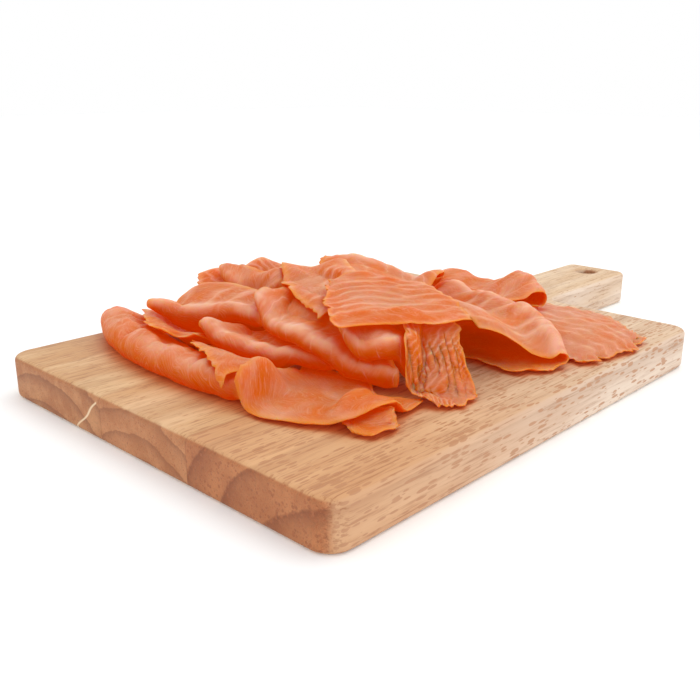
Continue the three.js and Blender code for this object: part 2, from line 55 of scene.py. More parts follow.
# %% [markdown]
# ## Measures
# A maker thinks of a board and of slices in millimetres, and Blender works in metres. Plan places are
# counted from the board's near left corner, x along the grain and y across, because that is how the pile
# is laid out by hand. One function turns such places into Blender's frame.

# %% Millimetres and the board's own corner
MM = 0.001
BODY_LENGTH = 250
BODY_WIDTH = 1000 * (board_high.y - board_low.y)
OVERALL_LENGTH = 1000 * (board_high.x - board_low.x)
BOARD_THICK = 1000 * (board_high.z - board_low.z)
CORNER = np.array(board_low)


def in_frame(points):
    """Plan places and heights in millimetres, as points of the shared frame in metres."""
    return CORNER + np.asarray(points, float) * MM


print("overall length", OVERALL_LENGTH, "width", BODY_WIDTH, "thickness", BOARD_THICK)

# %% [markdown]
# ## The camera
# The board is seen from above one corner, at arm's length. A camera can be aimed by tracking a point, but
# two turns and a small roll are easier to keep the same, so the three axes of the camera are worked out
# from its heading and its tilt.

# %% Set the camera
CAMERA_PLACE = (-150.1, -149.8, 133.3)
CAMERA_HEADING = 0.759
CAMERA_TILT = 0.311
CAMERA_ROLL = 0.003
LENS = 43.18
SENSOR = 36


def camera_axes(heading, tilt, roll):
    """Right, up and forward of a camera, as unit vectors."""
    level = math.cos(tilt)
    forward = Vector((level * math.cos(heading), level * math.sin(heading), -math.sin(tilt)))
    right = forward.cross(Vector((0, 0, 1))).normalized()
    up = right.cross(forward)
    turned = right * math.cos(roll) + up * math.sin(roll)
    return turned, turned.cross(forward), forward


right, up, forward = camera_axes(CAMERA_HEADING, CAMERA_TILT, CAMERA_ROLL)
camera = bpy.data.objects.new("camera", bpy.data.cameras.new("camera"))
camera.matrix_world = Matrix((right, up, -forward)).transposed().to_4x4()
camera.location = in_frame(CAMERA_PLACE)
camera.data.lens = LENS
camera.data.sensor_width = SENSOR
camera.data.clip_start = 0.01
bpy.context.scene.collection.objects.link(camera)
bpy.context.scene.camera = camera
print("camera at", [round(side, 3) for side in camera.location])

# %% [markdown]
# ## Floor and light
# The board stands on a plain white table in a bright room. A large soft lamp over the handle side lights
# the tops, two weaker ones fill the long side and the near end, and the pale world keeps the shadows
# open. Large lamps give moist flesh its wide, soft shine.

# %% Make the world and the lamps
WORLD_LIGHT = 1.0
WARM_WHITE = (1, 0.985, 0.96)


def place(name, data, spot=(0, 0, 0)):
    """A new object at that spot, in metres."""
    made = bpy.data.objects.new(name, data)
    made.location = spot
    bpy.context.scene.collection.objects.link(made)
    return made


def lamp(name, spot, aim, size, energy, colour=(1, 1, 1)):
    """A square lamp that faces a point, all in metres."""
    light = bpy.data.lights.new(name, "AREA")
    light.size = size
    light.energy = energy
    light.color = colour
    made = place(name, light, spot)
    made.rotation_mode = "QUATERNION"
    made.rotation_quaternion = (Vector(aim) - Vector(spot)).to_track_quat("-Z", "Y")
    return made


lamp("key_lamp", spot=(0.25, -0.15, 0.95), aim=(-0.05, 0, 0.02), size=0.75, energy=2.4, colour=WARM_WHITE)
lamp("side_lamp", spot=(0.1, -1.0, 0.35), aim=(0, 0, 0.03), size=0.7, energy=0.8)
lamp("near_lamp", spot=(-1.0, -0.35, 0.4), aim=(-0.1, 0, 0.03), size=0.6, energy=0.3)

world = bpy.data.worlds.new("bright_room")
world.use_nodes = True
world.node_tree.nodes["Background"].inputs["Color"].default_value = (1, 1, 1, 1)
world.node_tree.nodes["Background"].inputs["Strength"].default_value = WORLD_LIGHT
bpy.context.scene.world = world
bpy.context.scene.view_settings.view_transform = "Standard"

# %% [markdown]
# ### The table top
# One large square is enough for a floor. White paint alone would leave the shadow round the board grey,
# so the floor also gives off a little cool light of its own, as a lit table top does.

# %% Make the floor
FLOOR_SIZE = 6
FLOOR_WHITE = 0.93
FLOOR_ROUGHNESS = 0.8
FLOOR_LIFT = 0.08
FLOOR_LIFT_COLOUR = (0.86, 0.97, 1, 1)

half = FLOOR_SIZE / 2
floor_corners = [(-half, -half, 0), (half, -half, 0), (half, half, 0), (-half, half, 0)]
floor_mesh = bpy.data.meshes.new("floor")
floor_mesh.from_pydata(floor_corners, [], [(0, 1, 2, 3)])
floor = place("floor", floor_mesh)
floor_paint = bpy.data.materials.new("floor_white")
floor_paint.use_nodes = True
floor_shader = floor_paint.node_tree.nodes["Principled BSDF"]
floor_shader.inputs["Base Color"].default_value = (FLOOR_WHITE, FLOOR_WHITE, FLOOR_WHITE, 1)
floor_shader.inputs["Roughness"].default_value = FLOOR_ROUGHNESS
floor_shader.inputs["Emission Color"].default_value = FLOOR_LIFT_COLOUR
floor_shader.inputs["Emission Strength"].default_value = FLOOR_LIFT
floor_mesh.materials.append(floor_paint)
print("floor:", FLOOR_SIZE, "m square")

# %% [markdown]
# ## Small helpers for meshes
# A mesh made from arrays is quick: all vertices and faces go in with one call. The helper also sets smooth
# shading and stores values per vertex, which the materials read by name.

# %% Make a mesh piece
def piece(name, points, faces, replaced, values=None):
    """A mesh object from points of the shared frame; it rides on the body and stands for its node."""
    mesh = bpy.data.meshes.new(name)
    mesh.from_pydata(np.asarray(points).tolist(), [], faces)
    mesh.update()
    mesh.polygons.foreach_set("use_smooth", [True] * len(mesh.polygons))
    for label, numbers in (values or {}).items():
        numbers = np.asarray(numbers, np.float32)
        kind, key = ("FLOAT_VECTOR", "vector") if numbers.ndim == 2 else ("FLOAT", "value")
        mesh.attributes.new(label, kind, "POINT").data.foreach_set(key, numbers.ravel())
    made = place(name, mesh)
    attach(made, "root")
    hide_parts(replaced)
    return made


# %% [markdown]
# ## Small helpers for materials
# Materials are node trees. Written out node by node they are hard to read, so short functions do what
# comes back often: add a node and plug in its inputs, calculate, step softly between two values, mix two
# colours, and read noise. The last two start a shader group and a material.

# %% Add nodes
def add(tree, kind, inputs=None, **settings):
    """A new node with its settings, each input set to a number or linked to another node's output."""
    made = tree.nodes.new(kind)
    for name, value in settings.items():
        setattr(made, name, value)
    for name, value in (inputs or {}).items():
        if isinstance(value, bpy.types.NodeSocket):
            tree.links.new(value, made.inputs[name])
        else:
            made.inputs[name].default_value = value
    return made


def calc(tree, operation, *values):
    """One calculation on numbers or outputs; gives the output."""
    return add(tree, "ShaderNodeMath", dict(enumerate(values)), operation=operation).outputs[0]


def centred(tree, value):
    """A value that is one half on average, moved to 0 on average."""
    return calc(tree, "SUBTRACT", value, 0.5)


def ease(tree, value, start, end, low=0, high=1):
    """A smooth step of value: low up to start, high from end on."""
    ranges = {"Value": value, "From Min": start, "From Max": end, "To Min": low, "To Max": high}
    return add(tree, "ShaderNodeMapRange", ranges, interpolation_type="SMOOTHSTEP").outputs[0]


def blend(tree, share, first, second, how="MIX"):
    """A mix of two colours; share says how much of the second."""
    made = add(tree, "ShaderNodeMix", data_type="RGBA", blend_type=how)
    for socket, value in ((made.inputs[0], share), (made.inputs[6], first), (made.inputs[7], second)):
        if isinstance(value, bpy.types.NodeSocket):
            tree.links.new(value, socket)
        else:
            socket.default_value = value
    return made.outputs[2]


def noise(tree, vector, scale, detail=2, roughness=0.5):
    """A noise value, about 0.5 on average."""
    inputs = {"Vector": vector, "Scale": scale, "Detail": detail, "Roughness": roughness}
    return add(tree, "ShaderNodeTexNoise", inputs).outputs["Fac"]


def stretched(tree, vector, factors):
    """The vector with each side multiplied by a factor."""
    return add(tree, "ShaderNodeVectorMath", {0: vector, 1: factors}, operation="MULTIPLY").outputs[0]


def group(name, inputs, outputs):
    """An empty shader group; gives the tree, its input sockets and the node that its results go to."""
    tree = bpy.data.node_groups.new(name, "ShaderNodeTree")
    for label, kind, value in inputs:
        socket = tree.interface.new_socket(label, in_out="INPUT", socket_type=kind)
        if value is not None:
            socket.default_value = value
    for label, kind in outputs:
        tree.interface.new_socket(label, in_out="OUTPUT", socket_type=kind)
    entry = tree.nodes.new("NodeGroupInput")
    return tree, entry.outputs, tree.nodes.new("NodeGroupOutput")


def new_material(name):
    """A material with node tree, and its Principled shader."""
    made = bpy.data.materials.new(name)
    made.use_nodes = True
    return made, made.node_tree, made.node_tree.nodes["Principled BSDF"]


print("helpers ready")

# %% [markdown]
# ## The board's shape
# The board is a slab with a handle, sawn from one glued panel and rounded over on every edge. A bevel
# modifier could round it, but the hang hole makes that fragile. Here the outline is drawn by a function
# of an inset, and the round edge is a stack of such outlines, each a little further in and higher. The
# caps are filled between the outer line and the hole.

# %% Draw the outline for any inset
BODY_CORNER = 9.5
HANDLE_WIDTH = 39
HANDLE_CORNER = 5.5
NECK_FILLET = 9
HOLE_RADIUS = 5.8
HOLE_FROM_HANDLE_END = 15
EDGE_ROUND = 2.4
CORNERS = 8
ARC_POINTS = 12
HOLE_POINTS = 48
EDGE_LEVELS = 7


def arc(centre, radius, start, end, count):
    """Points along an arc, angles in degrees."""
    angles = np.radians(np.linspace(start, end, count))
    return np.stack([centre[0] + radius * np.cos(angles), centre[1] + radius * np.sin(angles)], -1)


def board_outline(inset):
    """The board from above, drawn in by an inset, counter-clockwise."""
    low = (BODY_WIDTH - HANDLE_WIDTH) / 2
    high = low + HANDLE_WIDTH
    far_body = BODY_LENGTH - BODY_CORNER
    far_handle = OVERALL_LENGTH - HANDLE_CORNER
    neck = BODY_LENGTH + NECK_FILLET
    corner = BODY_CORNER - inset
    small = HANDLE_CORNER - inset
    fillet = NECK_FILLET + inset
    runs = [
        arc((BODY_CORNER, BODY_CORNER), corner, 180, 270, ARC_POINTS),
        arc((far_body, BODY_CORNER), corner, 270, 360, ARC_POINTS),
        arc((neck, low - NECK_FILLET), fillet, 180, 90, ARC_POINTS),
        arc((far_handle, low + HANDLE_CORNER), small, 270, 360, ARC_POINTS),
        arc((far_handle, high - HANDLE_CORNER), small, 0, 90, ARC_POINTS),
        arc((neck, high + NECK_FILLET), fillet, 270, 180, ARC_POINTS),
        arc((far_body, BODY_WIDTH - BODY_CORNER), corner, 0, 90, ARC_POINTS),
        arc((BODY_CORNER, BODY_WIDTH - BODY_CORNER), corner, 90, 180, ARC_POINTS),
    ]
    return np.concatenate(runs)


def hole_outline(inset):
    """The hang hole from above; an inset of the board widens it."""
    centre = (OVERALL_LENGTH - HOLE_FROM_HANDLE_END, BODY_WIDTH / 2)
    return arc(centre, HOLE_RADIUS + inset, 0, 360, HOLE_POINTS + 1)[:-1]


def edge_profile():
    """Inset and height of each outline, from the underside to the top."""
    turns = np.linspace(0, math.pi / 2, EDGE_LEVELS)
    lower = [(EDGE_ROUND * (1 - math.sin(a)), EDGE_ROUND * (1 - math.cos(a))) for a in turns]
    return lower + [(inset, BOARD_THICK - height) for inset, height in reversed(lower)]


print("outline points:", CORNERS * ARC_POINTS)

# %% [markdown]
# ### From outlines to a board
# Outlines with the same number of points can be joined by quads, level by level, both outside and in the
# hole. The two flat caps have a hole in them, so they are cut into triangles by Blender's own tessellator,
# and each triangle is turned until it faces out.

# %% Build the board
def walls(first, rows, columns, flipped):
    """Quads between outlines that lie above each other, each a closed loop of points."""
    quads = []
    for row in range(rows - 1):
        for column in range(columns):
            a = first + row * columns + column
            b = first + row * columns + (column + 1) % columns
            quad = (a, b, b + columns, a + columns)
            quads.append(quad[::-1] if flipped else quad)
    return quads


def build_board():
    """The board as one closed mesh."""
    profile = edge_profile()
    rim = CORNERS * ARC_POINTS
    outer = [np.column_stack([board_outline(inset), np.full(rim, z)]) for inset, z in profile]
    hole = [np.column_stack([hole_outline(inset), np.full(HOLE_POINTS, z)]) for inset, z in profile]
    points = np.concatenate(outer + hole)
    hole_start = rim * len(profile)
    faces = walls(0, len(profile), rim, False) + walls(hole_start, len(profile), HOLE_POINTS, True)
    for level, flipped in ((0, True), (len(profile) - 1, False)):
        loops = [[Vector(p) for p in outer[level]], [Vector(p) for p in hole[level]]]
        labels = list(range(level * rim, (level + 1) * rim))
        labels += [hole_start + level * HOLE_POINTS + i for i in range(HOLE_POINTS)]
        for triangle in tessellate_polygon(loops):
            corners = [labels[i] for i in triangle]
            a, b, c = (points[i][:2] for i in corners)
            upward = (b[0] - a[0]) * (c[1] - a[1]) - (b[1] - a[1]) * (c[0] - a[0]) > 0
            faces.append(tuple(corners if upward != flipped else corners[::-1]))
    return piece("wooden_board", in_frame(points), faces, "board")


board = build_board()
print("board faces:", len(board.data.polygons))

# %% [markdown]
# ## How a slice lies
# A slice of smoked salmon is a limp sheet about two millimetres thick. Laid down, it takes the form of
# what is under it and bridges the hollows, and most slices are folded over once, with a soft roll at the
# fold. Cloth simulation could drop twenty such sheets, but they would land somewhere else each time a
# value changes. So the pile is kept as a map of heights, and each slice is laid on the map by rules: plan
# lines say where its edges and its fold run, and the map says how high.

# %% Smooth curves and uneven waves
FULL_TURN = 2 * math.pi


def smooth(t):
    """A soft step from 0 to 1."""
    t = np.clip(t, 0, 1)
    return t * t * (3 - 2 * t)


def curve(values, t):
    """A smooth curve through equally spaced values, t from 0 to 1."""
    values = np.asarray(values, float)
    t = np.asarray(t, float)
    last = len(values) - 1
    place_on = np.clip(t, 0, 1) * last
    i = np.minimum(place_on.astype(int), last - 1)
    f = place_on - i
    first = 2 * values[0] - values[1]
    final = 2 * values[-1] - values[-2]
    padded = np.concatenate([[first], values, [final]])
    a, b, c, d = (padded[i + k] for k in range(4))
    cubic = (c - a) * f + (2 * a - 5 * b + 4 * c - d) * f**2 + (3 * b - a - 3 * c + d) * f**3
    return 0.5 * (2 * b + cubic)


EDGE_WAVES = ((1, 1, 1.7), (2.3, 0.6, 3.1), (4.7, 0.35, 5.3))


def uneven(x, seed):
    """A wave between about -1 and 1, for edges that no knife cuts straight."""
    total = sum(height * np.sin(x * pitch + seed * shift) for pitch, height, shift in EDGE_WAVES)
    return total / sum(height for _, height, _ in EDGE_WAVES)


RIPPLE_WAVES = 6
RIPPLE_SPREAD = (0.7, 1.5)


def ripple(x, y, pitch, seed):
    """A field of soft bumps about 0, from a few plane waves in random directions."""
    draw = np.random.default_rng(seed)
    total = 0
    for _ in range(RIPPLE_WAVES):
        heading, shift = draw.uniform(0, FULL_TURN, 2)
        number = FULL_TURN / (pitch * draw.uniform(*RIPPLE_SPREAD))
        total = total + np.sin(number * (x * math.cos(heading) + y * math.sin(heading)) + shift)
    return total / math.sqrt(RIPPLE_WAVES)


print("ripple sample:", np.round(ripple(np.arange(0, 20, 5.0), 0, 10, 1), 2))

# %% [markdown]
# ### Torn edges
# A knife leaves some of an edge clean and frays the rest. Waves of one kind all along it would look like
# a trimming. So several waves are added, a slow one fades them in and out, and a few notches are cut in
# at random places.

# %% Fray an edge
FRAY_WAVES = ((14, 0.45), (6.3, 0.32), (3.9, 0.26), (2.6, 0.16))
FRAY_WANDER = 1.3
FRAY_WANDER_STRETCH = 2.7
CALM_PITCH = 33
CALM_FRAY = 0.3
CALM_SLOPE = 0.8
NOTCH_PITCH = 16
NOTCH_DEPTHS = (0.4, 1.5)
NOTCH_REACHES = (0.9, 2.4)


def ragged(x, seed):
    """How far a torn edge stands in (-) or out (+): calm and torn stretches, and a few notches."""
    draw = np.random.default_rng(seed)
    total = np.zeros_like(x)
    for pitch, height in FRAY_WAVES:
        shift, turn = draw.uniform(0, FULL_TURN, 2)
        wander = FRAY_WANDER * np.sin(FULL_TURN * x / (FRAY_WANDER_STRETCH * pitch) + turn)
        total += height * np.sin(FULL_TURN * x / pitch + shift + wander)
    calm = CALM_SLOPE * np.sin(FULL_TURN * x / CALM_PITCH + draw.uniform(0, FULL_TURN))
    total *= CALM_FRAY + smooth(0.5 + calm)
    span = max(np.max(x) - np.min(x), 1)
    for _ in range(int(span / NOTCH_PITCH) + 1):
        spot = np.min(x) + draw.uniform(0, span)
        depth, reach = draw.uniform(*NOTCH_DEPTHS), draw.uniform(*NOTCH_REACHES)
        total -= depth * np.exp(-(((x - spot) / reach) ** 2))
    return total


print("torn edge sample:", np.round(ragged(np.arange(0, 20, 5.0), 1), 2))

# %% [markdown]
# ### The map of the pile
# The map is a plain array of heights. Three things are asked of it: the height under a point, the same map
# with every peak a little wider, so that a sheet laid on it clears them, and the surface of a limp sheet
# laid over it. That last one starts on the widened map and is averaged again and again, never below it.
# Real cloth solvers do the same with springs, but they need far more steps. Slack counts the averages
# that are taken on the cells of the solids. The cells here are finer, so each slack stands for more.

# %% Keep the pile as a map of heights
CELL = 1.5
MAP_CORNER = (-6, -10)
MAP_COLUMNS = 180
MAP_ROWS = 149
LAST_CELL = 1.001
CAD_CELL = 2
SOFTEN_PASSES = 2


def map_places(x, y):
    """Places in the map, in cells."""
    u = np.clip((x - MAP_CORNER[0]) / CELL, 0, MAP_COLUMNS - LAST_CELL)
    v = np.clip((y - MAP_CORNER[1]) / CELL, 0, MAP_ROWS - LAST_CELL)
    return u, v


def height_at(field, x, y):
    """Heights of a map under points, read between the cells."""
    u, v = map_places(x, y)
    i, j = u.astype(int), v.astype(int)
    f, g = u - i, v - j
    near = field[j, i] * (1 - f) + field[j, i + 1] * f
    far = field[j + 1, i] * (1 - f) + field[j + 1, i + 1] * f
    return near * (1 - g) + far * g


def widened(field):
    """The highest of each cell and its eight neighbours."""
    wide = field.copy()
    for axis in (0, 1):
        before = np.roll(wide, 1, axis)
        after = np.roll(wide, -1, axis)
        wide = np.maximum(wide, np.maximum(before, after))
    return wide


def neighbours(field):
    """The mean of the four neighbours of each cell."""
    grown = np.pad(field, 1, mode="edge")
    return (grown[:-2, 1:-1] + grown[2:, 1:-1] + grown[1:-1, :-2] + grown[1:-1, 2:]) / 4


def draped(field, slack):
    """A limp sheet laid over the map; more slack lets it bridge wider hollows."""
    base = widened(field)
    sheet = base
    for _ in range(int(slack * (CAD_CELL / CELL) ** 2)):
        sheet = np.maximum(base, neighbours(sheet))
    for _ in range(SOFTEN_PASSES):
        sheet = 0.5 * sheet + 0.5 * neighbours(sheet)
    return sheet


def draw_into(field, points, samples=3):
    """Raises the map to a surface, given as rows and columns of points."""
    a, b, c, d = points[:-1, :-1], points[1:, :-1], points[:-1, 1:], points[1:, 1:]
    for u in np.linspace(0, 1, samples):
        for v in np.linspace(0, 1, samples):
            spot = (a * (1 - u) + b * u) * (1 - v) + (c * (1 - u) + d * u) * v
            i, j = map_places(spot[..., 0].ravel(), spot[..., 1].ravel())
            cells = (np.round(j).astype(int), np.round(i).astype(int))
            np.maximum.at(field, cells, spot[..., 2].ravel())


print("map:", MAP_COLUMNS, "by", MAP_ROWS, "cells of", CELL, "mm")

# %% [markdown]
# ### Plan lines and layers
# A folded slice has two layers: one below the fold and one above it. Each layer is a grid of points
# between two plan lines. The points first get their places seen from above, and then their heights from
# the map. Each uneven trait of a slice draws from a seed of its own, so that a change to one trait leaves
# the others as they were.

# %% Draw the plan lines of a slice
LUMP_PITCH = 3.6
LUMPS = 0.14
SEED_SHIFTS = dict(
    ridge_depth=3, upper_wave=5, end_wave=9, pleat_wander=11, pleat_depth=12, lumps=21,
    upper_teeth=31, fat_lines=40, start_teeth=47, end_teeth=59, bumps=70, ruffle=90,
)


def seed_of(layout, trait):
    """The seed of one uneven trait of a slice."""
    return layout["seed"] + SEED_SHIFTS[trait]


def unit(vectors):
    """The vectors at length one."""
    return vectors / np.maximum(np.linalg.norm(vectors, axis=-1, keepdims=True), 1e-9)


def plan_lines(layout, t):
    """The lines that bound the layers, as points at the shares t of the slice's length."""
    fold = np.stack([curve([p[0] for p in layout["line"]], t), curve([p[1] for p in layout["line"]], t)], -1)

    def edge(widths, directions):
        angle = np.radians(curve(directions, t))
        return fold + curve(widths, t)[:, None] * np.stack([np.cos(angle), np.sin(angle)], -1)

    upper = edge(layout["over"], layout.get("across_over", layout["across"]))
    return [edge(layout["under"], layout["across"]), fold, upper] if "under" in layout else [fold, upper]


def bend_radius(layout, t, length):
    """Radius of the fold along the slice; a limp fold is lumpy."""
    if "bend" not in layout:
        return np.zeros_like(t)
    lumps = uneven(t * length / LUMP_PITCH, seed_of(layout, "lumps"))
    return curve(layout["bend"], t) * (1 + LUMPS * lumps)


def near_ends(t, share):
    """Two values that fall from 1 at the start and at the end to 0 within a share of the length."""
    return np.clip(1 - t / share, 0, 1) ** 2, np.clip(1 - (1 - t) / share, 0, 1) ** 2


print("traits with a seed:", len(SEED_SHIFTS))

# %% [markdown]
# ### Free edges
# No edge of a slice is straight. The long sides wander in a slow wave, the corners are rounded off, and
# every free edge frays. The grid is pulled along with its edge, more weakly further in, so that its quads
# stay even and the fibres, which follow the grid, bend with the edge. The layers of a folded slice read
# the same waves some way apart, so that one doesn't repeat the other.

# %% Lay out the plan of a layer
STEP = 1.3
FEWEST_COLUMNS = 4
END_SHARE = 0.22
CORNER_POWER = 2.5
CORNER_CUT = 8
WAVE = 2
WAVE_FADE = 3
LOWER_WAVE_PITCH = 14
UPPER_WAVE_PITCH = 11
END_WAVE_PITCH = 9
MOST_BEND_SHARE = 0.45
FRAY_REACH = 4.5
PLAIN_FRAY = 0.2
LAYER_SHIFT = 60


def side_waves(layout, layer, last, t, length, run, u):
    """How far the points of a layer move out across it, by waves and teeth of its free long sides."""
    wave = layout.get("wave", WAVE)
    fray = layout.get("fray", {})
    out = np.zeros((len(t), len(u)))
    if layer == 0:
        teeth = ragged(t * length, layout["seed"]) * fray.get("lower", PLAIN_FRAY)
        out -= (uneven(t * length / LOWER_WAVE_PITCH, layout["seed"]) * wave)[:, None] * (1 - u) ** WAVE_FADE
        out -= teeth[:, None] * np.exp(-run[:, None] * u / FRAY_REACH)
    if layer == last:
        teeth = ragged(t * length, seed_of(layout, "upper_teeth")) * fray.get("upper", PLAIN_FRAY)
        slow = uneven(t * length / UPPER_WAVE_PITCH, seed_of(layout, "upper_wave"))
        out += (slow * wave)[:, None] * u**WAVE_FADE
        out += teeth[:, None] * np.exp(-run[:, None] * (1 - u) / FRAY_REACH)
    return out


def layer_plan(layout, lines, layer, t, length):
    """Plan points of one layer, the direction across it, and the run from edge to edge."""
    last = len(lines) - 2
    fray = layout.get("fray", {})
    across = unit(lines[layer + 1] - lines[layer])
    width = np.linalg.norm(lines[layer + 1] - lines[layer], axis=1)
    held = np.minimum(bend_radius(layout, t, length), width * MOST_BEND_SHARE)
    start = lines[layer] + across * (held if layer == 1 else 0 * held)[:, None]
    end = lines[layer + 1] - across * (held if layer == 0 and last == 1 else 0 * held)[:, None]
    run = np.linalg.norm(end - start, axis=1)
    u = np.linspace(0, 1, max(FEWEST_COLUMNS, round(run.mean() / STEP) + 1))
    spots = start[:, None] + (end - start)[:, None] * u[None, :, None]
    spots += across[:, None] * side_waves(layout, layer, last, t, length, run, u)[..., None]
    along = unit(np.gradient(spots, axis=0))
    share = (layer + u) / (len(lines) - 1)
    cut = layout.get("corner_cut", CORNER_CUT) * np.abs(2 * share - 1) ** CORNER_POWER
    reach = uneven(share * END_WAVE_PITCH, seed_of(layout, "end_wave")) * layout.get("wave", WAVE) - cut
    near_start, near_end = near_ends(t, END_SHARE)
    spots += along * (reach[None] * (near_end - near_start)[:, None])[..., None]
    place_across = layer * LAYER_SHIFT + run.mean() * u
    first_teeth = ragged(place_across, seed_of(layout, "start_teeth")) * fray.get("start", PLAIN_FRAY)
    last_teeth = ragged(place_across, seed_of(layout, "end_teeth")) * fray.get("end", PLAIN_FRAY)
    from_start = np.exp(-t * length / FRAY_REACH)[:, None]
    from_end = np.exp(-(1 - t) * length / FRAY_REACH)[:, None]
    spots += along * (last_teeth[None] * from_end - first_teeth[None] * from_start)[..., None]
    return spots, across, run, u


print("grid step:", STEP, "mm")

# %% [markdown]
# ### Ridges, pleats and flutter
# Three kinds of relief belong to the slice itself and not to what it lies on. Flakes stand out as ridges,
# a hanging end gathers in pleats, and limp flesh flutters a little everywhere, most of all at a free edge.
# A displacement texture could draw them, but then the slice above would not know of them. Here they are
# part of the heights that go into the map. In these functions a and b are the distances along and across
# the sheet.

# %% Shape ridges, pleats and the flutter of a layer
RIDGE_FADE = 8
RIDGE_SHARPNESS = 1.6
RIDGE_WANDER = 0.35
RIDGE_WANDER_PACE = 3
RIDGE_DRIFT = 0.22
RIDGE_DRIFT_PITCH = 22
RIDGE_DEPTH = 0.65
RIDGE_DEPTH_SPREAD = 0.35
RIDGE_DEPTH_PITCH = 30
PLEAT_START = 1.6
PLEAT_WANDER = 0.55
PLEAT_WANDER_PITCH = 14
PLEAT_DEPTH = 0.75
PLEAT_DEPTH_SPREAD = 0.5
PLEAT_DEPTH_PITCH = 8
PUCKER = 0.3
PUCKER_PACE = 2.6
PUCKER_SLANT = 0.5
FLUTTER = 0.5
FLUTTER_PITCH = 17
FLUTTER_SHARE = 0.6
FLUTTER_LIFT = 0.6
RUFFLE_PITCH = 13
RUFFLE_REACH = 9
RUFFLE_LIFT = 0.5


def ridge_heights(layout, t, u, a, b):
    """Ridges along the slice, each with a sharp crest and a wide trough."""
    ridges = layout["ridges"]
    phase = ridges["count"] * u + RIDGE_WANDER * uneven(t * RIDGE_WANDER_PACE, layout["seed"])[:, None]
    phase = phase + RIDGE_DRIFT * ripple(a, b, RIDGE_DRIFT_PITCH, layout["seed"])
    form = (0.5 + 0.5 * np.sin(FULL_TURN * phase)) ** RIDGE_SHARPNESS
    fade = smooth(u * RIDGE_FADE) * smooth((1 - u) * RIDGE_FADE)
    depth = RIDGE_DEPTH + RIDGE_DEPTH_SPREAD * ripple(a, b, RIDGE_DEPTH_PITCH, seed_of(layout, "ridge_depth"))
    return ridges["height"] * fade * form * depth


def pleat_depths(layout, t, u, a, b):
    """How far the pleats of a hanging end stand out."""
    pleat = layout["pleat"]
    wander = PLEAT_WANDER * ripple(a, b, PLEAT_WANDER_PITCH, seed_of(layout, "pleat_wander"))
    phase = FULL_TURN * (pleat["count"] * t[:, None] + wander)
    uneven_depth = PLEAT_DEPTH_SPREAD * ripple(a, b, PLEAT_DEPTH_PITCH, seed_of(layout, "pleat_depth"))
    depth = pleat["depth"] * (PLEAT_DEPTH + uneven_depth)
    pucker = PUCKER * (1 + np.cos(PUCKER_PACE * phase + PUCKER_SLANT * b))
    return (depth * (1 - np.cos(phase)) / 2 + pucker) * smooth(u * PLEAT_START)


def flutter_heights(layout, a, b, edge_gap):
    """Soft bumps all over, and a ruffle near the free edges; both only lift the sheet."""
    flutter = layout.get("flutter", FLUTTER)
    bumps = FLUTTER_LIFT + ripple(a, b, FLUTTER_PITCH, seed_of(layout, "bumps"))
    ruffle = RUFFLE_LIFT + ripple(a, b, RUFFLE_PITCH, seed_of(layout, "ruffle"))
    near_edge = flutter * np.exp(-edge_gap / RUFFLE_REACH)
    return np.maximum(FLUTTER_SHARE * flutter * bumps + near_edge * ruffle, 0)


print("a pleat stands out by", PLEAT_DEPTH, "of its depth on average")

# %% [markdown]
# ### Heights of a layer
# The sheet rests on the draped map. Behind a fold it starts high, because the roll of the fold holds it
# up, and comes down over a short length. A rise, a crown in the middle or a tuck at an end is added where
# the slice has one, and then the relief.

# %% Raise the layer onto the pile
SLICE_THICK = 2.1
LAYER_GAP = 0.45
STEEPEST = 2
CROWN_PLACE = 0.55
CROWN_WIDTH = 0.35
TUCK_SHARE = 0.25


def resting_heights(layout, plan, t, length, layer, last, ground):
    """Heights of the middle of the sheet, as it rests on the ground or is held up above it."""
    spots, _, run, u = plan
    surface = draped(ground, layout["slack"])
    slope_y, slope_x = np.gradient(surface, CELL)
    x, y = spots[..., 0], spots[..., 1]
    slope = np.minimum(np.hypot(height_at(slope_x, x, y), height_at(slope_y, x, y)), STEEPEST)
    z = height_at(surface, x, y) + SLICE_THICK / 2 * np.hypot(1, slope)
    if "rise" in layout and layer == last:
        low, high = (BOARD_THICK + curve(heights, t)[:, None] for heights in layout["rise"])
        z = np.maximum(z, low + (high - low) * smooth(u))
    if layer > 0:
        opening = np.maximum(2 * bend_radius(layout, t, length) - SLICE_THICK - LAYER_GAP, 0)
        z += opening[:, None] * (1 - smooth(u * run[:, None] / layout["settle"]))
    if "crown" in layout:
        over_width = np.exp(-(((u - CROWN_PLACE) / CROWN_WIDTH) ** 2))
        z += layout["crown"] * over_width[None] * np.sin(math.pi * t)[:, None]
    if "tuck" in layout and layer == last:
        near_start, near_end = near_ends(t, TUCK_SHARE)
        z += (layout["tuck"][0] * near_start + layout["tuck"][1] * near_end)[:, None]
    return z


def raise_layer(layout, plan, t, length, layer, last, ground):
    """Points of the layer with their heights."""
    spots, across, run, u = plan
    z = resting_heights(layout, plan, t, length, layer, last, ground)
    a = (t * length)[:, None]
    b = layer * LAYER_SHIFT + u * run[:, None]
    if "ridges" in layout:
        z += ridge_heights(layout, t, u, a, b)
    edge_gap = np.minimum(a, length - a)
    if layer == last:
        edge_gap = np.minimum(edge_gap, run[:, None] * (1 - u))
    if layer == 0:
        edge_gap = np.minimum(edge_gap, run[:, None] * u)
    z += flutter_heights(layout, a, b, edge_gap)
    points = np.concatenate([spots, z[..., None]], -1)
    if "pleat" in layout:
        points[..., :2] += across[:, None] * pleat_depths(layout, t, u, a, b)[..., None]
    return points


print("slices are", SLICE_THICK, "mm thick, with", LAYER_GAP, "mm of air between two layers")

# %% [markdown]
# ### From layers to a sheet
# The upper layer is laid on a map that already holds the lower one. A bend then joins them as half a
# circle, seen from the end of the fold, and the three grids together are the middle surface of the sheet.

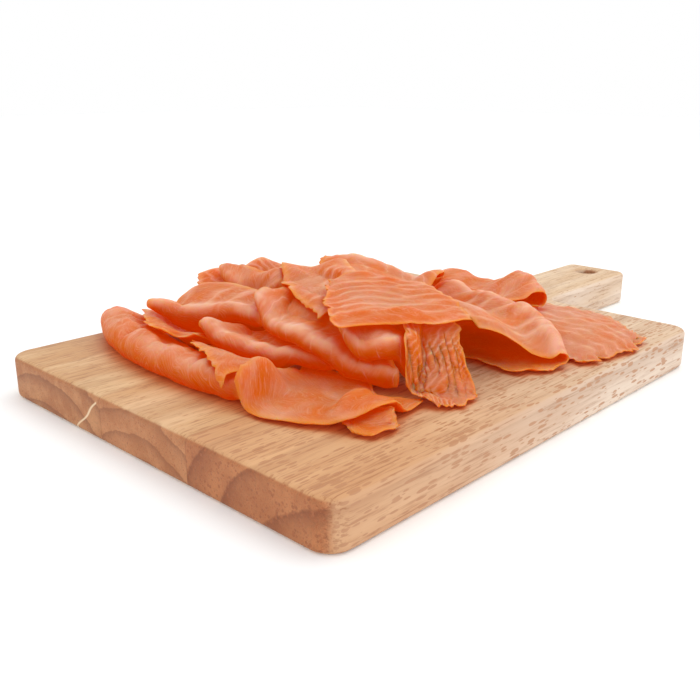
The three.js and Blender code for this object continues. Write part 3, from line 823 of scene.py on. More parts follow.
# %% Join the layers
FOLD_POINTS = 9
ROUGH_POINTS = 40
FEWEST_ROWS = 8


def bend_points(layout, lines, lower, upper, t, length):
    """Points round the fold, from the end of the lower layer to the start of the upper."""
    below = unit(lines[0] - lines[1])
    above = unit(lines[2] - lines[1])
    low, high = lower[:, -1], upper[:, 0]
    radius = bend_radius(layout, t, length)
    columns = []
    for i in range(1, FOLD_POINTS + 1):
        share = i / (FOLD_POINTS + 1)
        angle = math.pi * (share - 0.5)
        inward = unit(below * (1 - share) + above * share)
        point = low * (1 - share) + high * share
        point[:, :2] -= inward * (radius * math.cos(angle))[:, None]
        point[:, 2] = (low[:, 2] + high[:, 2]) / 2 + (high[:, 2] - low[:, 2]) / 2 * math.sin(angle)
        columns.append(point)
    return np.stack(columns, 1)


def middle_surface(layout, pile, lifts):
    """The middle of the sheet, which layer each column is in, and the ground under each layer."""
    rough = np.linspace(0, 1, ROUGH_POINTS)
    length = np.linalg.norm(np.diff(plan_lines(layout, rough)[1], axis=0), axis=1).sum()
    t = np.linspace(0, 1, max(FEWEST_ROWS, round(length / STEP * layout.get("fine", 1)) + 1))
    lines = plan_lines(layout, t)
    last = len(lines) - 2
    ground = pile.copy()
    parts, owners, grounds = [], [], []
    for layer in range(last + 1):
        grounds.append(ground.copy())
        plan = layer_plan(layout, lines, layer, t, length)
        points = raise_layer(layout, plan, t, length, layer, last, ground + lifts[layer] + LAYER_GAP)
        if parts:
            parts.append(bend_points(layout, lines, parts[-1], points, t, length))
            owners += [-1] * FOLD_POINTS
        parts.append(points)
        owners += [layer] * points.shape[1]
        raised = points.copy()
        raised[..., 2] += SLICE_THICK / 2
        draw_into(ground, raised)
    return np.concatenate(parts, 1), np.array(owners), grounds


print("points round a fold:", FOLD_POINTS)

# %% [markdown]
# ### From a middle surface to a slice
# The two faces of a slice lie half a thickness to either side of the middle surface. The thickness runs
# out towards every free edge, as a long thin knife leaves it. A sheet that still touches what it lies on
# is lifted there, and laid again. The stretch just past a fold is stored as its crest, because flesh is
# paler where it is bent most and stands highest; where it faces up, that paleness is partly painted light.

# %% Lay one slice
RIM_SHARE = 0.16
RIM_WIDTH = 5.5
CLEARANCE = 0.1
TOLERANCE = 0.05
FIT_PASSES = 4
CREST_SHIFT = 1.2
CREST_WIDTH = 4.2


def runs_of(grid):
    """Distances along and across the sheet, as it would lie flat."""
    across = np.linalg.norm(np.diff(grid, axis=1), axis=-1)
    along = np.linalg.norm(np.diff(grid, axis=0), axis=-1)
    across = np.concatenate([np.zeros((grid.shape[0], 1)), np.cumsum(across, 1)], 1)
    along = np.concatenate([np.zeros((1, grid.shape[1])), np.cumsum(along, 0)], 0)
    return along, across


def sheet_normals(grid):
    """Unit normals of a grid of points."""
    return unit(np.cross(np.gradient(grid, axis=0), np.gradient(grid, axis=1)))


def sheet_faces(grid):
    """Both faces of the sheet, its flat measures and the distance to the nearest free edge."""
    along, across = runs_of(grid)
    side_gap = np.minimum(across, across[:, -1:] - across)
    end_gap = np.minimum(along, along[-1:] - along)
    rim = np.minimum(side_gap, end_gap)
    thick = SLICE_THICK * (RIM_SHARE + (1 - RIM_SHARE) * smooth(rim / RIM_WIDTH))
    out = sheet_normals(grid) * (thick / 2)[..., None]
    return grid + out, grid - out, along, across, rim


def shortfall(owners, grounds, sides, lifts):
    """Adds to the lifts where the sheet is too low; says whether it was anywhere."""
    clash = False
    for layer, lift in enumerate(lifts):
        columns = np.flatnonzero((owners == layer) | (owners == -1))
        ground = grounds[layer]
        note = np.zeros_like(ground)
        for side in sides:
            spot = side[:, columns]
            low = height_at(ground, spot[..., 0], spot[..., 1]) + CLEARANCE - spot[..., 2]
            low[:, owners[columns] == -1] = np.minimum(low[:, owners[columns] == -1], 0)
            if low.max() > TOLERANCE:
                clash = True
            i, j = map_places(spot[..., 0].ravel(), spot[..., 1].ravel())
            np.maximum.at(note, (np.round(j).astype(int), np.round(i).astype(int)), low.ravel())
        note = widened(note)
        lift += 0.5 * note + 0.5 * neighbours(note)
    return clash


def lay_slice(layout, pile):
    """Lays a slice on the pile and gives its faces and how near each point is to the crest of the fold."""
    lifts = [np.zeros_like(pile) for _ in range(2 if "under" in layout else 1)]
    for _ in range(FIT_PASSES):
        grid, owners, grounds = middle_surface(layout, pile, lifts)
        faces = sheet_faces(grid)
        if not shortfall(owners, grounds, faces[:2], lifts):
            break
    draw_into(pile, faces[0])
    draw_into(pile, faces[1])
    across = faces[3]
    bend = np.flatnonzero(owners == -1)
    if not len(bend):
        return *faces, np.zeros_like(across)
    past_bend = across - across[:, bend[-1:]] - CREST_SHIFT
    return *faces, np.exp(-((past_bend / CREST_WIDTH) ** 2))


print("rim of a slice:", round(SLICE_THICK * RIM_SHARE, 2), "mm thick")

# %% [markdown]
# ## The twenty slices
# This is the layout of the pile, lowest slice first, as somebody would write it down while laying real
# slices. Line is where the fold runs, or the edge of a flat slice, and across says which way the slice
# lies from it, in degrees. Under and over are the widths of the two layers, and bend is the radius of the
# fold. Slack lets it bridge hollows, settle is how far behind the fold it comes down, and rise holds it up
# to the heights it has near the fold and at its edge. The last lines of an entry are about its looks: how
# often the pale lines of connective tissue cross it, how they turn and bow, and where its edges are torn.

# %% Write down the layout
SLICES = [
    dict(
        name="slice_tail",
        line=[[162, 93], [156, 48], [160, 4]],
        across=[8, -2, -4],
        over=[66, 77, 46],
        slack=5, wave=2, corner_cut=6, crown=3.5, tuck=[3, 0], seed=3,
        look="fibrous", septa=dict(pitch=8, turn=84, bow=6),
        fray=dict(lower=0.5, upper=1.3, start=0.3, end=1.3), fine=1.5,
    ),
    dict(
        name="slice_back_low",
        line=[[98, 188], [122, 188], [154, 173], [182, 148], [203, 108]],
        across=[-76, -110, -149],
        under=[51, 71, 60],
        over=[42, 65, 55],
        bend=[2, 2.8, 3.8, 4, 4], settle=12, slack=10, seed=5,
        septa=dict(pitch=11, turn=8, bow=10),
    ),
    dict(
        name="slice_back_high",
        line=[[108, 182], [124, 180], [146, 164], [164, 140]],
        across=[-68, -101, -130],
        under=[30, 33, 31],
        over=[36, 44, 40],
        bend=[1.6, 2.2, 2.6, 2.4], settle=8, slack=8, seed=8,
        septa=dict(pitch=10, turn=-6, bow=9),
    ),
    dict(
        name="slice_back_right",
        line=[[206, 110], [220, 91], [223, 74], [210, 58]],
        across=[163, 168, 160],
        under=[20, 32, 22],
        over=[28, 38, 32],
        bend=[1.6, 3.4, 5, 3.2], settle=26, slack=10, seed=11,
        rise=[[6, 9, 12, 8], [11, 11, 11, 9]],
        look="plain", septa=dict(pitch=13, turn=10, bow=12),
    ),
    dict(
        name="slice_right_fold",
        line=[[179, 92], [182, 66], [174, 38], [152, 12]],
        across=[165, 160, 165],
        under=[33, 53, 24],
        across_over=[160, 147, 146],
        over=[36, 57, 38],
        bend=[4, 4.2, 4, 2.6], settle=16, slack=10, wave=1.5, corner_cut=3, seed=12,
        rise=[[8, 10, 9, 4], [13, 17, 24, 21]], tuck=[0, -2],
        septa=dict(pitch=12, turn=14, bow=14), fray=dict(end=0.6),
    ),
    dict(
        name="slice_left_roll",
        line=[[47, 199], [33, 170], [27, 138], [26.5, 104], [30, 76]],
        across=[-34, 8, 25],
        under=[26, 27, 24],
        over=[24, 24, 20],
        bend=[4.2, 4.8, 4.6, 4.2, 3.2], settle=20, slack=12, wave=1.5, seed=7,
        rise=[[5, 4, 2, 2], [7, 5, 4, 2]],
        ridges=dict(height=1.4, count=1.6),
        look="plain", septa=dict(pitch=17, turn=24, bow=12),
        fray=dict(upper=0.8, start=0.8), flutter=0.35,
    ),
    dict(
        name="slice_front_under",
        line=[[58, 43], [54, 34], [60, 28]],
        across=[-160, -144, -128],
        over=[17, 16, 11],
        slack=4, wave=1, corner_cut=2, seed=21,
        rise=[[6, 6, 5], [0, 0, 0]],
        pleat=dict(depth=1.5, count=2),
        look="plain", septa=dict(pitch=12, turn=0, bow=6),
    ),
    dict(
        name="slice_left_flap",
        line=[[50, 134], [35, 104], [24, 78]],
        across=[13, 9, 3],
        over=[20, 30, 34],
        slack=5, wave=2.5, corner_cut=4, seed=22,
        look="plain", septa=dict(pitch=9, turn=4, bow=8), fray=dict(lower=0.9, start=0.6),
    ),
    dict(
        name="slice_left_tab",
        line=[[57, 180], [47, 161], [36, 143], [43, 134], [56, 128]],
        across=[0, 0, 4],
        over=[26, 38, 24],
        slack=5, wave=1.2, corner_cut=2, seed=23,
        look="striped", septa=dict(pitch=7, turn=70, bow=5), fray=dict(lower=1.2, start=0.8, end=0.8),
    ),
    dict(
        name="slice_front",
        line=[[27, 78], [26, 62], [31, 47], [36, 37], [43, 30], [57, 27], [76, 28]],
        across=[14, 22, 55],
        over=[59, 44, 6],
        slack=5, wave=1.8, corner_cut=2, seed=6,
        look="plain", septa=dict(pitch=14, turn=52, bow=9), fray=dict(lower=0.3, start=0.7),
    ),
    dict(
        name="slice_back_left",
        line=[[103, 199], [113, 193], [118, 186], [126, 182], [129, 172], [129, 158], [132, 148]],
        across=[-125, -130, -135],
        over=[22, 24, 26],
        slack=6, wave=1.2, corner_cut=2, seed=13,
        rise=[[19, 21, 18, 25, 26, 25, 24], [10, 12, 15, 17]],
        septa=dict(pitch=8, turn=-6, bow=8), fray=dict(start=0.8),
    ),
    dict(
        name="slice_mid_fold",
        line=[[54, 133], [53, 119], [55, 105], [62, 91], [75, 70]],
        across=[20, 15, 29],
        under=[24, 20, 12],
        over=[30, 28, 14],
        bend=[1.4, 2.2, 2.6, 2.4, 1.8], settle=30, slack=6, seed=9,
        rise=[[2, 4, 6, 5], [5, 8, 10, 10]],
        septa=dict(pitch=14, turn=12, bow=16),
    ),
    dict(
        name="slice_left_fold",
        line=[[54, 172], [60, 162], [68, 150], [75, 136], [79, 120]],
        across=[0, 2, 4],
        under=[30, 22, 15],
        over=[32, 25, 20],
        bend=[1.6, 2.4, 3, 3, 2.4], settle=30, slack=8, corner_cut=3, seed=10,
        rise=[[6, 12, 14, 12], [22, 22, 20, 17]],
        septa=dict(pitch=13, turn=6, bow=10),
    ),
    dict(
        name="slice_back_band",
        line=[[106, 184], [102, 171], [100, 158], [103, 147], [109, 139]],
        across=[5, 20, 25],
        under=[8, 10, 10],
        over=[12, 17, 20],
        bend=[0.8, 1.6, 2.2, 2.4, 2], settle=30, slack=6, seed=18,
        rise=[[9, 11, 13, 15], [14, 18, 22, 23]],
        look="plain", septa=dict(pitch=14, turn=-8, bow=10),
    ),
    dict(
        name="slice_back_mid",
        line=[[152, 157], [163, 147], [172, 131], [177, 113], [179, 97]],
        across=[-131, -142, -159],
        under=[23, 29, 22],
        over=[45, 56, 45],
        bend=[2.2, 2.6, 2.5, 2, 1.2], settle=12, slack=40, seed=14,
        rise=[[25, 24, 18, 15], [26, 26, 22, 20]],
        look="striped", septa=dict(pitch=9, turn=5, bow=8), fray=dict(start=1.1),
    ),
    dict(
        name="slice_drape",
        line=[[81, 127], [72, 108], [67, 90], [67, 76], [70, 63], [73, 53], [78, 42]],
        across=[5, 14, 58],
        under=[16, 20, 12],
        over=[24, 26, 20],
        bend=[1.6, 2.2, 2.4, 2.4, 2.5, 2.8, 2.6], settle=30, slack=8, corner_cut=3, seed=15,
        rise=[[14, 13, 10, 8, 7, 7, 8], [20, 22, 21, 19, 18, 17]],
        look="striped", septa=dict(pitch=12, turn=14, bow=9), fray=dict(end=0.7),
    ),
    dict(
        name="slice_top_left",
        line=[[119, 152], [100, 130], [89, 112], [84, 97], [80, 84]],
        across=[-28, -22, 15],
        over=[34, 36, 36],
        slack=14, wave=1.5, corner_cut=2, seed=24,
        rise=[[23, 22, 21, 21], [25, 25, 25, 25]],
        septa=dict(pitch=13, turn=25, bow=10), fray=dict(lower=1.0, end=0.8),
    ),
    dict(
        name="slice_lobe",
        line=[[75, 70], [71, 57], [75, 48], [84, 41]],
        across=[22, 24, 28],
        under=[16, 20, 12],
        over=[20, 22, 16],
        bend=[1.6, 2.2, 2.4, 2.2], settle=30, slack=5, corner_cut=2, seed=16,
        rise=[[13, 13, 14, 15], [21, 22, 22, 21]],
        look="striped", septa=dict(pitch=10, turn=20, bow=8), fray=dict(end=1.0, start=0.6),
    ),
    dict(
        name="slice_frill",
        line=[[95, 56], [102, 47], [108, 39]],
        across=[-133, -131, -119],
        over=[27, 34, 24],
        slack=3, wave=1, corner_cut=0, seed=17,
        rise=[[21, 24, 24], [3, 0, 1]],
        pleat=dict(depth=1.5, count=7),
        look="fibrous", septa=dict(pitch=3.2, turn=6, bow=2),
        fray=dict(upper=0.9, end=0.8), flutter=0.2, fine=2.5,
    ),
    dict(
        name="slice_top",
        line=[[59, 60], [69, 56], [85, 46], [96, 37], [112, 30]],
        across=[46, 52, 58],
        over=[70, 73, 59],
        slack=14, wave=1.2, corner_cut=2, seed=19,
        rise=[[26, 27, 26, 26], [27, 29, 28, 27]], tuck=[2.5, 0],
        ridges=dict(height=0.9, count=8),
        look="flaky", septa=dict(pitch=8.5, turn=90, bow=6),
        fray=dict(lower=0.4, start=1.2), flutter=0.2,
    ),
]

print("slices:", len(SLICES))

# %% [markdown]
# ## Wood
# The board is glued from three staves of a pale hardwood. A picture of wood would smear over the rounded
# edges and would not match where the top meets the end. A solid texture does: each stave is a piece of a
# round trunk, so its rings are worked out from the distance to a pith line that runs along the board. The
# same rings then show as lines on top and as arcs on the end, as they do in real wood.

# %% Make the growth rings
TRUNK_SHAPE = (0.02, 1, 1)
SLOW_WAVER = (0.008, 0.06, 0.06)
FINE_WAVER = (0.02, 0.5, 0.5)
FINE_WAVER_REACH = 1.2
LATE_SHARPNESS = 3.0
LATE_END = 0.93


def rings_group():
    """Rings round a pith line: light early wood that darkens to a thin line of late wood."""
    tree, given, result = group(
        "growth_rings",
        [("Place", "NodeSocketVector", None), ("Pith", "NodeSocketVector", None),
         ("Ring width", "NodeSocketFloat", 4.0), ("Waver", "NodeSocketFloat", 1.0)],
        [("Late wood", "NodeSocketFloat")],
    )
    offset = add(tree, "ShaderNodeVectorMath", {0: given["Place"], 1: given["Pith"]}, operation="SUBTRACT")
    flat = stretched(tree, offset.outputs[0], TRUNK_SHAPE)
    radius = add(tree, "ShaderNodeVectorMath", {0: flat}, operation="LENGTH").outputs["Value"]
    slow = noise(tree, stretched(tree, given["Place"], SLOW_WAVER), 1.0, detail=3, roughness=0.55)
    fine = noise(tree, stretched(tree, given["Place"], FINE_WAVER), 1.0)
    push = calc(tree, "MULTIPLY", centred(tree, slow), given["Waver"])
    push = calc(tree, "ADD", push, calc(tree, "MULTIPLY", centred(tree, fine), FINE_WAVER_REACH))
    phase = calc(tree, "DIVIDE", calc(tree, "ADD", radius, push), given["Ring width"])
    share = calc(tree, "FRACT", phase)
    late = calc(tree, "POWER", share, LATE_SHARPNESS)
    tree.links.new(calc(tree, "MULTIPLY", late, ease(tree, share, 1.0, LATE_END)), result.inputs["Late wood"])
    return tree


RINGS = rings_group()
print("group:", RINGS.name)

# %% [markdown]
# ### Pores
# The vessels of the tree are open tubes along the grain. Cut lengthwise they are brown dashes some
# millimetres long, and cut across they are dots. Stretched noise gives dashes that melt together. A
# Voronoi texture keeps them apart: each of its cells, drawn out along the grain, holds one pore round its
# middle, and a random value of the cell sets how large the pore is.

# %% Make the pores
PORE_REACH = 0.56
PORE_RIM = (-0.05, 0.08)


def pores_group():
    """Brown pores: a mask that is 1 inside a pore."""
    tree, given, result = group(
        "wood_pores",
        [("Place", "NodeSocketVector", None), ("Length", "NodeSocketFloat", 6.0),
         ("Breadth", "NodeSocketFloat", 0.6), ("Amount", "NodeSocketFloat", 0.5)],
        [("Mask", "NodeSocketFloat")],
    )
    along, across, height = add(tree, "ShaderNodeSeparateXYZ", {0: given["Place"]}).outputs
    long = calc(tree, "DIVIDE", along, given["Length"])
    wide = calc(tree, "DIVIDE", across, given["Breadth"])
    deep = calc(tree, "DIVIDE", height, given["Breadth"])
    drawn_out = add(tree, "ShaderNodeCombineXYZ", {0: long, 1: wide, 2: deep}).outputs[0]
    cells = add(tree, "ShaderNodeTexVoronoi", {"Vector": drawn_out, "Scale": 1.0, "Randomness": 1.0})
    size = add(tree, "ShaderNodeSeparateColor", {0: cells.outputs["Color"]}).outputs[0]
    reach = calc(tree, "MULTIPLY", calc(tree, "MULTIPLY", size, given["Amount"]), PORE_REACH)
    inside = calc(tree, "SUBTRACT", reach, cells.outputs["Distance"])
    tree.links.new(ease(tree, inside, *PORE_RIM), result.inputs["Mask"])
    return tree


PORES = pores_group()
print("group:", PORES.name)

# %% [markdown]
# ### The staves
# Each stave gets its own pith line, shade and amount of pores, chosen by where a point lies across the
# board. Three separate meshes would do as well, but the real staves are glued and planed into one panel.
# The near end is darker and the far end paler, so a stave also has a tint for its near end.

# %% Choose the staves and the colours of the wood
STAVE_JOINTS = (69, 124)
STAVES = (
    dict(pith=(0, -6, -34), width=17, tint=(0.62, 0.385, 0.205, 1), rings=0.92, pores=1.0, short=0.8,
         near=(0.92, 0.74, 0.60, 1)),
    dict(pith=(0, 98, -34), width=9, tint=(0.62, 0.375, 0.180, 1), rings=0.72, pores=0.45, short=1.6,
         near=(0.98, 0.90, 0.84, 1)),
    dict(pith=(0, 168, -50), width=11, tint=(0.57, 0.315, 0.145, 1), rings=0.84, pores=0.50, short=1.8,
         near=(1.0, 0.98, 0.92, 1)),
)
PALE_WOOD = (0.72, 0.490, 0.280, 1)
LATE_WOOD = (0.30, 0.125, 0.045, 1)
STREAK_BROWN = (0.40, 0.185, 0.075, 1)
PORE_BROWN = (0.46, 0.205, 0.085, 1)
FAR_WOOD = (1.02, 1.12, 1.32, 1)
print("staves:", len(STAVES))

# %% [markdown]
# ### One stave
# Wood has more than rings. Its shade drifts slowly along the board, brown streaks run with the grain where
# the shade is deeper, and the pores lie over both. Each of these is a noise with its own stretch along the
# grain, and the rings are strongest on the end.

# %% Colour one stave
RING_WAVER = 5
RINGS_ON_TOP = 0.35
SHADES = (0.010, 0.09, 0.09)
SHADE_RANGE = (0.36, 0.66)
STREAK_LENGTH = 0.045
STREAK_BREADTH = 0.9
STREAK_RANGE = (0.48, 0.68)
STREAKS_BY_SHADE = (0.68, 0.36, 0.35, 0.95)
PORE_LENGTH = 6
PORE_BREADTH = 1.3


def stave_colour(tree, spot, stave, end_grain, far):
    """Colour and pore mask of one stave."""
    shade = noise(tree, stretched(tree, spot, SHADES), 1.0, detail=3, roughness=0.6)
    colour = blend(tree, ease(tree, shade, *SHADE_RANGE), stave["tint"], PALE_WOOD)
    streak_shape = (STREAK_LENGTH * stave["short"], STREAK_BREADTH, STREAK_BREADTH)
    streaks = noise(tree, stretched(tree, spot, streak_shape), 1.0, detail=4, roughness=0.65)
    dark = calc(tree, "MULTIPLY", ease(tree, streaks, *STREAK_RANGE), ease(tree, shade, *STREAKS_BY_SHADE))
    colour = blend(tree, dark, colour, STREAK_BROWN)
    trunk = {"Place": spot, "Pith": stave["pith"], "Ring width": stave["width"], "Waver": RING_WAVER}
    rings = add(tree, "ShaderNodeGroup", trunk, node_tree=RINGS)
    seen = calc(tree, "MULTIPLY", ease(tree, end_grain, 0, 1, RINGS_ON_TOP, 1.0), stave["rings"])
    colour = blend(tree, calc(tree, "MULTIPLY", rings.outputs["Late wood"], seen), colour, LATE_WOOD)
    colour = blend(tree, 1.0, colour, blend(tree, far, stave["near"], FAR_WOOD), "MULTIPLY")
    vessels = {"Place": spot, "Length": PORE_LENGTH, "Breadth": PORE_BREADTH, "Amount": stave["pores"]}
    return colour, add(tree, "ShaderNodeGroup", vessels, node_tree=PORES).outputs["Mask"]


print("pores:", PORE_LENGTH, "by", PORE_BREADTH, "mm cells")

# %% [markdown]
# ### Three staves in one panel
# The staves are told apart by a test on the place across the board, and that keeps the joints sharp. A
# thin dark line marks the glue.

# %% Put the staves side by side
JOINT_LINE = 0.5
JOINT_DARKNESS = 0.35
PORE_DARKNESS = 0.85


def panel_colour(tree, spot, across, end_grain, far):
    """Colour and pore mask of the whole panel, with a fine dark line at each glued joint."""
    colour, pores = stave_colour(tree, spot, STAVES[0], end_grain, far)
    for joint, stave in zip(STAVE_JOINTS, STAVES[1:]):
        beyond = calc(tree, "GREATER_THAN", across, float(joint))
        next_colour, next_pores = stave_colour(tree, spot, stave, end_grain, far)
        colour = blend(tree, beyond, colour, next_colour)
        before = calc(tree, "MULTIPLY", pores, calc(tree, "SUBTRACT", 1, beyond))
        pores = calc(tree, "ADD", before, calc(tree, "MULTIPLY", next_pores, beyond))
    for joint in STAVE_JOINTS:
        away = calc(tree, "ABSOLUTE", calc(tree, "SUBTRACT", across, float(joint)))
        line = calc(tree, "MULTIPLY", ease(tree, away, JOINT_LINE, 0), JOINT_DARKNESS)
        colour = blend(tree, line, colour, LATE_WOOD)
    return blend(tree, calc(tree, "MULTIPLY", pores, PORE_DARKNESS), colour, PORE_BROWN), pores


print("joints at", STAVE_JOINTS, "mm across")

# %% [markdown]
# ### End grain, resin, oil and painted light
# The end grain drinks more oil, so it is darker and warmer there, with a fine speckle. One pale streak of
# resin crosses the near end. The long near side is painted paler and cooler, as painted light. Close to the
# slices the wood is tinted orange: partly oil from the fish, partly painted shade and painted light thrown
# back by the slices. A painted mask would have to be redone whenever a slice moves, so ambient occlusion
# finds the covered wood instead.

# %% Add what age and use leave on the wood, and painted light and shade
END_OIL = (0.75, 0.51, 0.38, 1)
SPECKLE = (0.3, 0.9, 0.9)
SPECKLE_RANGE = (0.3, 0.7, 0.80, 1.18)
LIT_SIDE_WOOD = (1.05, 1.14, 1.36, 1)
LIT_SIDE_FACING = (-0.4, -0.9)
RESIN = (0.86, 0.66, 0.42, 1)
RESIN_ENDS = ((142.3, 1.4), (127.0, 15.0))
RESIN_HALF_WIDTH = (0.65, 0.2)
RESIN_STRENGTH = 0.8
RESIN_WOBBLE = 0.4
RESIN_WOBBLE_PACE = 0.6
OIL_AND_BOUNCE_TINT = (1.0, 0.50, 0.20, 1)
OIL_AND_SHADE_REACH = 0.02
OIL_AND_SHADE_BY_COVER = (0.95, 0.3, 0, 0.85)
TOP_FACING = (0.6, 0.9)
COVER_SAMPLES = 8


def oiled_end(tree, spot, colour):
    """The wood of the end grain."""
    oiled = blend(tree, 1.0, colour, END_OIL, "MULTIPLY")
    speckle = noise(tree, stretched(tree, spot, SPECKLE), 1.0, detail=4, roughness=0.7)
    speckle = ease(tree, speckle, *SPECKLE_RANGE)
    grey = add(tree, "ShaderNodeCombineColor", {0: speckle, 1: speckle, 2: speckle}).outputs[0]
    return blend(tree, 1.0, oiled, grey, "MULTIPLY")


def resin_streak(tree, across, height, end_grain):
    """Mask of one pale streak that crosses the near end of the far stave."""
    (first_y, first_z), (last_y, last_z) = RESIN_ENDS
    length = math.hypot(last_y - first_y, last_z - first_z)
    side_y, side_z = -(last_z - first_z) / length, (last_y - first_y) / length
    off = calc(tree, "MULTIPLY", calc(tree, "SUBTRACT", across, first_y), side_y)
    off = calc(tree, "ADD", off, calc(tree, "MULTIPLY", calc(tree, "SUBTRACT", height, first_z), side_z))
    wobble = calc(tree, "SINE", calc(tree, "MULTIPLY", height, RESIN_WOBBLE_PACE))
    off = calc(tree, "ADD", off, calc(tree, "MULTIPLY", wobble, RESIN_WOBBLE))
    line = ease(tree, calc(tree, "ABSOLUTE", off), *RESIN_HALF_WIDTH)
    inside = calc(tree, "GREATER_THAN", across, last_y - 1)
    shown = calc(tree, "MULTIPLY", end_grain, RESIN_STRENGTH)
    return calc(tree, "MULTIPLY", calc(tree, "MULTIPLY", line, inside), shown)


def oil_and_painted_bounce(tree, colour, upward):
    """Wood on top near the slices: oil, with painted shade and orange light thrown back by the fish."""
    cover = add(tree, "ShaderNodeAmbientOcclusion", {"Distance": OIL_AND_SHADE_REACH}, samples=COVER_SAMPLES)
    # oil stain and painted shade: wood that the slices cover is painted darker and more orange
    near_fish = ease(tree, cover.outputs["AO"], *OIL_AND_SHADE_BY_COVER)
    oil_and_bounce = calc(tree, "MULTIPLY", near_fish, ease(tree, upward, *TOP_FACING))
    return blend(tree, oil_and_bounce, colour, blend(tree, 1.0, colour, OIL_AND_BOUNCE_TINT, "MULTIPLY"))


print("resin streak:", RESIN_ENDS)

# %% [markdown]
# ### The board's material
# All of it goes into one material. Its places are the object's own coordinates in millimetres, which stay
# with the wood however the board is turned. The bump is small: sanded wood is smooth, and only the pores
# are open.

# %% Paint the board
END_FACING = (0.55, 0.85)
FAR_SPAN = (10, 190)
GRAIN = (0.05, 2.2, 2.2)
GRAIN_HEIGHT = 0.35
WOOD_ROUGHNESS = (0.2, 0.8, 0.5, 0.66)
WOOD_BUMP = {"Distance": 0.00015, "Strength": 0.45}


def places_in_mm(tree, coordinates):
    """Points of the board in millimetres from its near left corner."""
    own = coordinates.outputs["Object"]
    shifted = add(tree, "ShaderNodeVectorMath", {0: own, 1: tuple(-CORNER)}, operation="ADD").outputs[0]
    return add(tree, "ShaderNodeVectorMath", {0: shifted, "Scale": 1 / MM}, operation="SCALE").outputs[0]


def paint_board():
    """The board's material."""
    made, tree, shader = new_material("oiled_hardwood")
    coordinates = add(tree, "ShaderNodeTexCoord")
    spot = places_in_mm(tree, coordinates)
    along, across, height = add(tree, "ShaderNodeSeparateXYZ", {0: spot}).outputs
    facing = add(tree, "ShaderNodeSeparateXYZ", {0: coordinates.outputs["Normal"]}).outputs
    end_grain = ease(tree, calc(tree, "ABSOLUTE", facing[0]), *END_FACING)
    colour, pores = panel_colour(tree, spot, across, end_grain, ease(tree, along, *FAR_SPAN))
    colour = blend(tree, end_grain, colour, oiled_end(tree, spot, colour))
    # painted light: the long near side is painted paler and cooler, as the room's light falls on it
    lit_near_side = ease(tree, facing[1], *LIT_SIDE_FACING)
    colour = blend(tree, lit_near_side, colour, blend(tree, 1.0, colour, LIT_SIDE_WOOD, "MULTIPLY"))
    colour = blend(tree, resin_streak(tree, across, height, end_grain), colour, RESIN)
    tree.links.new(oil_and_painted_bounce(tree, colour, facing[2]), shader.inputs["Base Color"])
    grain = noise(tree, stretched(tree, spot, GRAIN), 1.0, detail=3)
    tree.links.new(ease(tree, grain, *WOOD_ROUGHNESS), shader.inputs["Roughness"])
    relief = calc(tree, "SUBTRACT", calc(tree, "MULTIPLY", grain, GRAIN_HEIGHT), pores)
    bump = add(tree, "ShaderNodeBump", {"Height": relief, **WOOD_BUMP})
    tree.links.new(bump.outputs[0], shader.inputs["Normal"])
    return made


board.data.materials.append(paint_board())
print("material:", board.data.materials[0].name)

# %% [markdown]
# ## Flesh
# Salmon flesh is built of blocks of orange muscle, parted by thin pale sheets of fatty tissue. A slice
# cuts through those sheets, so they show as bowed pale lines, one every centimetre or so, with fine
# fibres between. Painted lines would break at every fold. Here they follow each sheet through its folds,
# because their phase is worked out along the sheet and stored at its points.

# %% Make the pale lines
LINE_CORE = 0.15
LINE_WAVER = 0.5
LINE_WAVER_SCALE = 0.16
LINE_PATCH_SCALE = 0.055
LINE_PATCHES = (0.38, 0.62, 0.15, 1)


def fat_lines_group():
    """Thin pale lines where a stored phase passes a whole number, and a soft halo beside them."""
    tree, given, result = group(
        "fat_lines",
        [("Phase", "NodeSocketFloat", 0.0), ("Sheet", "NodeSocketVector", None),
         ("Width", "NodeSocketFloat", 0.05), ("Halo width", "NodeSocketFloat", 0.2)],
        [("Line", "NodeSocketFloat"), ("Halo", "NodeSocketFloat")],
    )
    waver = centred(tree, noise(tree, given["Sheet"], LINE_WAVER_SCALE, detail=3, roughness=0.55))
    phase = calc(tree, "ADD", given["Phase"], calc(tree, "MULTIPLY", waver, LINE_WAVER))
    away = calc(tree, "SUBTRACT", 0.5, calc(tree, "ABSOLUTE", centred(tree, calc(tree, "FRACT", phase))))
    patchy = ease(tree, noise(tree, given["Sheet"], LINE_PATCH_SCALE), *LINE_PATCHES)
    line = ease(tree, calc(tree, "DIVIDE", away, given["Width"]), 1, LINE_CORE)
    halo = ease(tree, calc(tree, "DIVIDE", away, given["Halo width"]), 1, 0)
    tree.links.new(calc(tree, "MULTIPLY", line, patchy), result.inputs["Line"])
    tree.links.new(calc(tree, "MULTIPLY", halo, patchy), result.inputs["Halo"])
    return tree


FAT_LINES = fat_lines_group()
print("group:", FAT_LINES.name)

# %% [markdown]
# ### Fibres
# Between the pale lines run the muscle fibres. They are noise drawn out in one direction, turned a little
# from place to place so that it doesn't look combed. A finer layer is mixed in, and a much broader noise
# gives the blotches of paler and deeper flesh that every slice has.

# %% Make the fibres
FIBRE_SHAPE = (0.16, 1.5, 0.5)
FIBRE_TURN_SCALE = 0.05
BROAD_FIBRES = 0.62
FINE_FIBRES = 0.38
FINENESS = 3.4
FIBRE_ROUGHNESS = 0.6
BLOTCH_SCALE = 0.045


